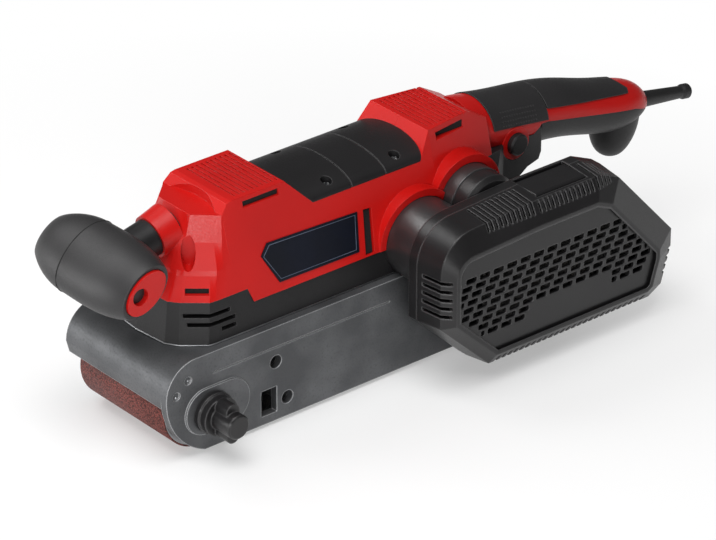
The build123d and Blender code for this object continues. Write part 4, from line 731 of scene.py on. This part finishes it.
        # The lowest rows leave the middle of the panel plain.
        plain_row, plain_start, plain_end = 7, 99.6, 162.5
        half_length, half_height = sizes.brick_length / MM / 2, sizes.brick_height / MM / 2
        centres, lengths = [], []
        for row in range(rows):
            z = first_z - row * sizes.row_pitch / MM
            spans = [self.reach_at(outline, z + side * half_height) for side in (-1, 1)]
            left = max(span[0] for span in spans) + border
            right = min(span[1] for span in spans) - border
            for column in range(columns):
                x = first_x - row * sizes.row_shift / MM + column * sizes.brick_pitch / MM
                start, end = max(x - half_length, left), min(x + half_length, right)
                if row >= plain_row and plain_start < end and start < plain_end:
                    start = plain_end
                if end - start > shortest:
                    centres.append(((start + end) / 2, z))
                    lengths.append((end - start) * MM)
        return centres, lengths

    def reach_at(self, outline, height):
        """Where a level line meets the two sides of a closed outline."""
        meets = []
        for (x, z), (next_x, next_z) in zip(outline, outline[1:] + outline[:1]):
            if (z - height) * (next_z - height) < 0:
                meets.append(x + (next_x - x) * (height - z) / (next_z - z))
        return min(meets), max(meets)


class SANDER_OT_soft_parts(SanderOperator, bpy.types.Operator):
    """Finishes the soft grips with their dots, the cable sleeve and the rubber inside"""

    bl_idname = "sander.soft_parts"
    bl_label = "Soft parts"

    def execute(self, context):
        colours, sizes = self.settings()
        # Soft-touch elastomer moulded over the handle: a dull charcoal skin that shows almost no highlight.
        soft = grained(
            "soft_touch_elastomer", (colours.grip, colours.grip_shade, colours.black_worn_and_lit), sizes.grain,
            patch=35 * MM, edge=sizes.edge, roughness=0.62, bump=0.2, specular=0.3, sheen=0.05,
        )
        # Moulded nitrile rubber: nearly black, smooth, with a low sheen.
        rubber = grained(
            "moulded_nitrile_rubber", ("#1F1F20", "#191919", "#3A3A3B"), sizes.grain,
            patch=30 * MM, edge=sizes.edge, roughness=0.5, bump=0.1,
        )
        show(soft, "soft_grips")
        show(rubber, "cable_sleeve", "roller_rubber", "toothed_belt")
        dots = dot_tree("grip_dots", soft)
        skin = merged_copy("soft_grips")
        for side, label in ((-1, "left"), (1, "right")):
            place = (154 * MM, side * 60 * MM, 114.5 * MM)
            field = {"Long": 26 * MM, "Wide": 7 * MM, "Columns": 14, "Rows": 4, "Dot": sizes.dot}
            aim = {"Place": place, "Turn": (0, math.radians(8), 0), "Cast": (0, -side, 0)}
            grow("grip_dots_" + label, dots, {**field, **aim}, "frame", skin.copy())
        return {"FINISHED"}


class SANDER_OT_castings(SanderOperator, bpy.types.Operator):
    """Finishes the cast frame, the gear case and the rollers, and makes the painted highlight on the deck's
    lip
    """

    bl_idname = "sander.castings"
    bl_label = "Castings"

    def execute(self, context):
        colours, sizes = self.settings()
        # Die-cast aluminium in grey hammer paint: fine pale and dark flecks, edges of bare metal with a
        # painted highlight.
        painted = grained(
            "painted_cast_aluminium", (colours.casting, colours.casting_shade, colours.casting_worn_and_lit),
            1.3 * MM, patch=30 * MM, edge=1.2 * MM, roughness=0.48, bump=0.25, specular=0.3,
            metallic=0.6, wear_and_highlight=0.9,
        )
        # Die-cast aluminium as it leaves the die: pale, faintly mottled metal.
        bare = grained(
            "bare_cast_aluminium", ("#A9AAAC", "#96979A", "#D0D1D2"), 1.2 * MM,
            patch=20 * MM, edge=sizes.edge, roughness=0.42, bump=0.2, metallic=1.0,
        )
        show(painted, "cast_frame")
        show(bare, "gear_case", "end_shield", "front_roller", "drive_roller")
        self.make_lip_highlight(sizes, bare)
        return {"FINISHED"}

    def make_lip_highlight(self, sizes, bare):
        """A painted highlight on the bare edge of the deck: a thin bright line round the foot of the base
        band.
        """
        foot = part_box("vent_band")[0][2] / MM
        rise = 0.2
        around = [(x, y, foot + rise) for x, y in lowest_outline("vent_band", 2)]
        lip_highlight = line_piece("deck_lip_highlight", around, sizes.lip_highlight, bare)


class SANDER_OT_steel_parts(SanderOperator, bpy.types.Operator):
    """Finishes the steel pieces, and makes the screws, the tension spring and the frame's pins"""

    bl_idname = "sander.steel_parts"
    bl_label = "Steel parts"

    def execute(self, context):
        colours, sizes = self.settings()
        # Turned and zinc-plated steel: a bright grey with fine tool marks and sharp little highlights.
        steel = grained(
            "machined_steel", (colours.steel, colours.steel_shade, "#E2E3E4"), 0.8 * MM,
            patch=12 * MM, edge=0.4 * MM, roughness=0.3, bump=0.1, metallic=1.0,
        )
        show(
            steel,
            "platen", "front_bearings", "front_axle", "tension_carriage", "lever_pin", "tension_lever",
            "drive_shaft", "drive_bearings", "driven_pulley", "drive_pulley", "tracking_screw", "stator",
            "motor_shaft", "armature", "motor_bearings", "layshaft_bearings", "layshaft", "bevel_gear",
            "bevel_pinion",
        )
        self.make_screws(sizes, steel)
        self.make_spring(steel)
        self.make_pins(steel)
        return {"FINISHED"}

    def make_screws(self, sizes, steel):
        seats, axes, reaches = [], [], []
        # Housing screws in wells on the right, then the screws of the motor cover, in millimetres.
        well, housing_reach, cover_reach = 3.5, 40, 11
        for x, z in ((-70, 105), (-24, 123), (82, 121), (110, 119)):
            seats.append((x, SIDE_HALF - LEAN * (z - SIDE_FOOT) - well, z))
            axes += [0, 1, 0]
            reaches.append(housing_reach * MM)
        for x in (8, 57):
            for y in (-22, 22):
                seats.append((x, y, 119))
                axes += [0, 0, 1]
                reaches.append(cover_reach * MM)
        places = point_mesh("screw_seats", seats)
        carry(places, "axis", "FLOAT_VECTOR", axes)
        carry(places, "reach", "FLOAT", reaches)
        values = {"Head": sizes.screw_head, "Crown": sizes.screw_crown, "Shank": sizes.screw_shank}
        screws = grow("cross_recess_screws", screw_tree(steel), values, "frame", places)
        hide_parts("screws")

    def make_spring(self, steel):
        low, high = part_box("tension_spring")
        wire = 0.7 * MM
        middle = [(a + b) / 2 for a, b in zip(low, high)]
        length = high[0] - low[0] - 2 * wire
        values = {"Turns": 5.0, "Mean radius": 5 * MM, "Length": length, "Wire": wire}
        start = (low[0] + wire, middle[1], middle[2])
        spring = grow("coil_spring", spring_tree(steel), {**values, "Place": start}, "frame")
        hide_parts("tension_spring")
        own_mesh(spring)

    def make_pins(self, steel):
        place = (-112.4 * MM, -80 * MM, 44.6 * MM)
        field = {"Long": 11.4 * MM, "Wide": 0.0, "Columns": 2, "Rows": 1, "Dot": 1.0 * MM}
        aim = {"Place": place, "Turn": (0, math.radians(-42), 0), "Cast": (0, 1, 0)}
        pins = dot_tree("frame_pins", steel)
        grow("frame_pins", pins, {**field, **aim}, "frame", merged_copy("cast_frame"))


class SANDER_OT_belt_and_windings(SanderOperator, bpy.types.Operator):
    """Makes the abrasive belt, the filter and the label's line, and finishes the windings and graphite"""

    bl_idname = "sander.belt_and_windings"
    bl_label = "Belt and windings"

    def execute(self, context):
        colours, sizes = self.settings()
        # Pressed graphite: black with a grey slick where the belt's back rubs it.
        graphite = grained(
            "pressed_graphite", ("#2B2B2D", "#222224", "#5C5C60"), 1.0 * MM,
            patch=15 * MM, edge=0.4 * MM, roughness=0.5, bump=0.1,
        )
        # Printed polyester film: smooth, nearly black navy under a clear gloss.
        film = grained(
            "printed_polyester_film", (colours.label, "#090D18", "#1C2436"), 2.0 * MM,
            patch=25 * MM, edge=0.3 * MM, roughness=0.4, bump=0.02, specular=0.2,
        )
        # Screen ink on the film: an even slate line, a little duller than the film.
        ink = grained(
            "screen_ink", [colours.label_line] * 3, 1 * MM,
            patch=9 * MM, edge=0.1 * MM, roughness=0.5, bump=0.0,
        )
        show(graphite, "platen_pad", "carbon_brushes")
        show(wound_copper(colours, sizes), "field_coils", "commutator")
        show(film, "label_plate")
        self.make_belt(abrasive_grains(colours, sizes), belt_cloth(colours, sizes))
        self.make_filter(sizes, filter_felt(colours))
        self.make_label_line(sizes, ink)
        return {"FINISHED"}

    def make_belt(self, grains, cloth):
        low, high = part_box("sanding_belt")
        thickness = 1 * MM
        radius = (high[2] - low[2]) / 2
        reach = high[0] - low[0] - 2 * radius
        width = high[1] - low[1]
        values = {"Reach": reach, "Radius": radius, "Width": width, "Thickness": thickness}
        belt = grow("abrasive_belt", belt_tree(grains, cloth), values, "frame")
        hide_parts("sanding_belt")

    def make_filter(self, sizes, felt):
        low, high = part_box("dust_filter")
        thickness = 1.2 * MM
        folds = 2 * sizes.pleats + 1
        pitch = (high[0] - low[0] - 2 * thickness) / (folds - 1)
        depth = high[1] - low[1] - 2 * thickness
        height = high[2] - low[2]
        values = {"Folds": folds, "Pitch": pitch, "Depth": depth, "Height": height, "Thickness": thickness}
        start = (low[0] + thickness, low[1] + thickness, (low[2] + high[2]) / 2)
        panel = grow("folded_filter", pleat_tree(felt), {**values, "Place": start}, "dust_box")
        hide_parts("dust_filter")

    def make_label_line(self, sizes, ink):
        # Corners of the plate in millimetres, along the tool and above the foot of the leaning left side.
        corners = ((-47.8, 22.3), (-42.6, 28.2), (21.2, 26.3), (18.1, 4.5), (-38.3, 5.0))
        # The line is drawn in towards the plate's middle, and stands off the side as far as the plate does.
        share_x, share_z, off = 0.95, 0.86, 0.58
        middle_x, middle_z = [sum(values) / len(corners) for values in zip(*corners)]
        outline = []
        for x, z in corners:
            along = middle_x + (x - middle_x) * share_x
            up = middle_z + (z - middle_z) * share_z
            outline.append((along, -SIDE_HALF + LEAN * up - off / SLOPE, SIDE_FOOT + up + off * LEAN / SLOPE))
        line_piece("label_line", outline, sizes.line, ink)


class SANDER_OT_studio(SanderOperator, bpy.types.Operator):
    """Makes the pale floor, the soft lights and the camera"""

    bl_idname = "sander.studio"
    bl_label = "Studio"

    def execute(self, context):
        colours, sizes = self.settings()
        self.make_floor(colours)
        self.make_sky()
        # Place and size in metres, power in watts, and a piece that the lamp is kept off.
        self.make_lamp("key_lamp", (-1.25, -0.97, 0.45), (0.44, 0.24), 9.2)
        self.make_lamp("high_lamp", (-0.42, 0.95, 1.15), (0.6, 0.9), 7.0, "cast_frame")
        self.make_lamp("low_lamp", (-1.2, 1.0, 0.24), (0.9, 0.45), 7.5)
        self.make_lamp("top_lamp", (-0.35, -0.3, 1.4), (1.2, 1.0), 17.0)
        self.make_camera(sizes)
        context.scene.view_settings.view_transform = "Standard"
        return {"FINISHED"}

    def seen(self, add):
        """1 for rays that show the floor itself: straight, mirrored or through glass."""
        rays = add("ShaderNodeLightPath").outputs
        direct = {0: rays["Is Camera Ray"], 1: rays["Is Glossy Ray"]}
        straight = add("ShaderNodeMath", direct, operation="MAXIMUM")
        return add("ShaderNodeMath", {0: straight, 1: rays["Is Transmission Ray"]}, operation="MAXIMUM")

    def make_floor(self, colours):
        half, below = 6.0, -0.0003
        corners = [(-half, -half, below), (half, -half, below), (half, half, below), (-half, half, below)]
        mesh = bpy.data.meshes.new("studio_floor")
        mesh.from_pydata(corners, [], [(0, 1, 2, 3)])
        floor = put("studio_floor", mesh)
        # Matt studio paper: white away from the object, and grey only in its shadow.
        material, add, place = start_material("studio_paper")
        away = add("ShaderNodeVectorMath", {0: place}, operation="LENGTH")
        fade = {"Value": away, "From Min": 0.15, "From Max": 0.45, "To Min": 0.35, "To Max": 1.0}
        far = add("ShaderNodeMapRange", fade)
        paper = add("ShaderNodeBsdfDiffuse", {"Color": colours.floor})
        white = add("ShaderNodeEmission", {"Color": (1, 1, 1, 1), "Strength": 1.0})
        share = add("ShaderNodeMath", {0: self.seen(add), 1: far}, operation="MULTIPLY")
        lit = add("ShaderNodeMixShader", {0: share, 1: paper, 2: white})
        add("ShaderNodeOutputMaterial", {"Surface": lit})
        mesh.materials.append(material)

    def make_sky(self):
        world = bpy.data.worlds.new("studio_sky")
        world.use_nodes = True
        world.node_tree.nodes.clear()
        add = adder(world.node_tree)
        sky = add("ShaderNodeBackground", {"Color": (1, 1, 1, 1), "Strength": 0.12})
        add("ShaderNodeOutputWorld", {"Surface": sky})
        bpy.context.scene.world = world

    def make_lamp(self, name, place, size, power, flagged=None):
        target = Vector((0.05, 0, 0.06))
        data = bpy.data.lights.new(name, "AREA")
        data.shape = "RECTANGLE"
        data.size, data.size_y = size
        data.energy = power
        lamp = put(name, data)
        lamp.location = place
        lamp.rotation_euler = (target - Vector(place)).to_track_quat("-Z", "Y").to_euler()
        if flagged:
            # A studio flag keeps this lamp off one piece.
            shade = bpy.data.collections.new(f"{name}_flag")
            shade.objects.link(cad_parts[flagged])
            lamp.light_linking.receiver_collection = shade
            shade.collection_objects[0].light_linking.link_state = "EXCLUDE"

    def make_camera(self, sizes):
        turn, rise, roll = sizes.azimuth, sizes.elevation, sizes.roll
        back = Vector((math.sin(turn) * math.cos(rise), -math.cos(turn) * math.cos(rise), math.sin(rise)))
        level = Vector((math.cos(turn), math.sin(turn), 0))
        upright = back.cross(level)
        right = level * math.cos(roll) + upright * math.sin(roll)
        up = upright * math.cos(roll) - level * math.sin(roll)
        data = bpy.data.cameras.new("camera")
        data.sensor_fit = "HORIZONTAL"
        data.sensor_width = 36
        data.lens = data.sensor_width * sizes.lens
        data.clip_end = 50
        spot = back * sizes.distance + right * sizes.aside + up * sizes.raised
        camera = put("camera", data)
        camera.matrix_world = Matrix.Translation(spot) @ Matrix((right, up, back)).transposed().to_4x4()
        bpy.context.scene.camera = camera


PIECES = (
    SANDER_OT_red_shells,
    SANDER_OT_black_mouldings,
    SANDER_OT_soft_parts,
    SANDER_OT_castings,
    SANDER_OT_steel_parts,
    SANDER_OT_belt_and_windings,
    SANDER_OT_studio,
)


class SANDER_PT_panel(bpy.types.Panel):
    """Lists the sander's operators, colours and sizes"""

    bl_label = "Belt sander"
    bl_space_type = "VIEW_3D"
    bl_region_type = "UI"
    bl_category = "Sander"

    def draw(self, context):
        for piece in PIECES:
            self.layout.operator(piece.bl_idname)
        for group in (context.scene.sander_colours, context.scene.sander_sizes):
            column = self.layout.column()
            for name in group.bl_rna.properties.keys():
                if name not in ("rna_type", "name"):
                    column.prop(group, name)


CLASSES = (SanderColours, SanderSizes, *PIECES, SANDER_PT_panel)


def register():
    for part in CLASSES:
        bpy.utils.register_class(part)
    bpy.types.Scene.sander_colours = bpy.props.PointerProperty(type=SanderColours)
    bpy.types.Scene.sander_sizes = bpy.props.PointerProperty(type=SanderSizes)


def unregister():
    del bpy.types.Scene.sander_sizes
    del bpy.types.Scene.sander_colours
    for part in reversed(CLASSES):
        bpy.utils.unregister_class(part)


def main():
    register()
    bpy.ops.sander.red_shells()
    bpy.ops.sander.black_mouldings()
    bpy.ops.sander.soft_parts()
    bpy.ops.sander.castings()
    bpy.ops.sander.steel_parts()
    bpy.ops.sander.belt_and_windings()
    bpy.ops.sander.studio()
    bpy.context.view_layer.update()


if __name__ == "__main__":
    main()
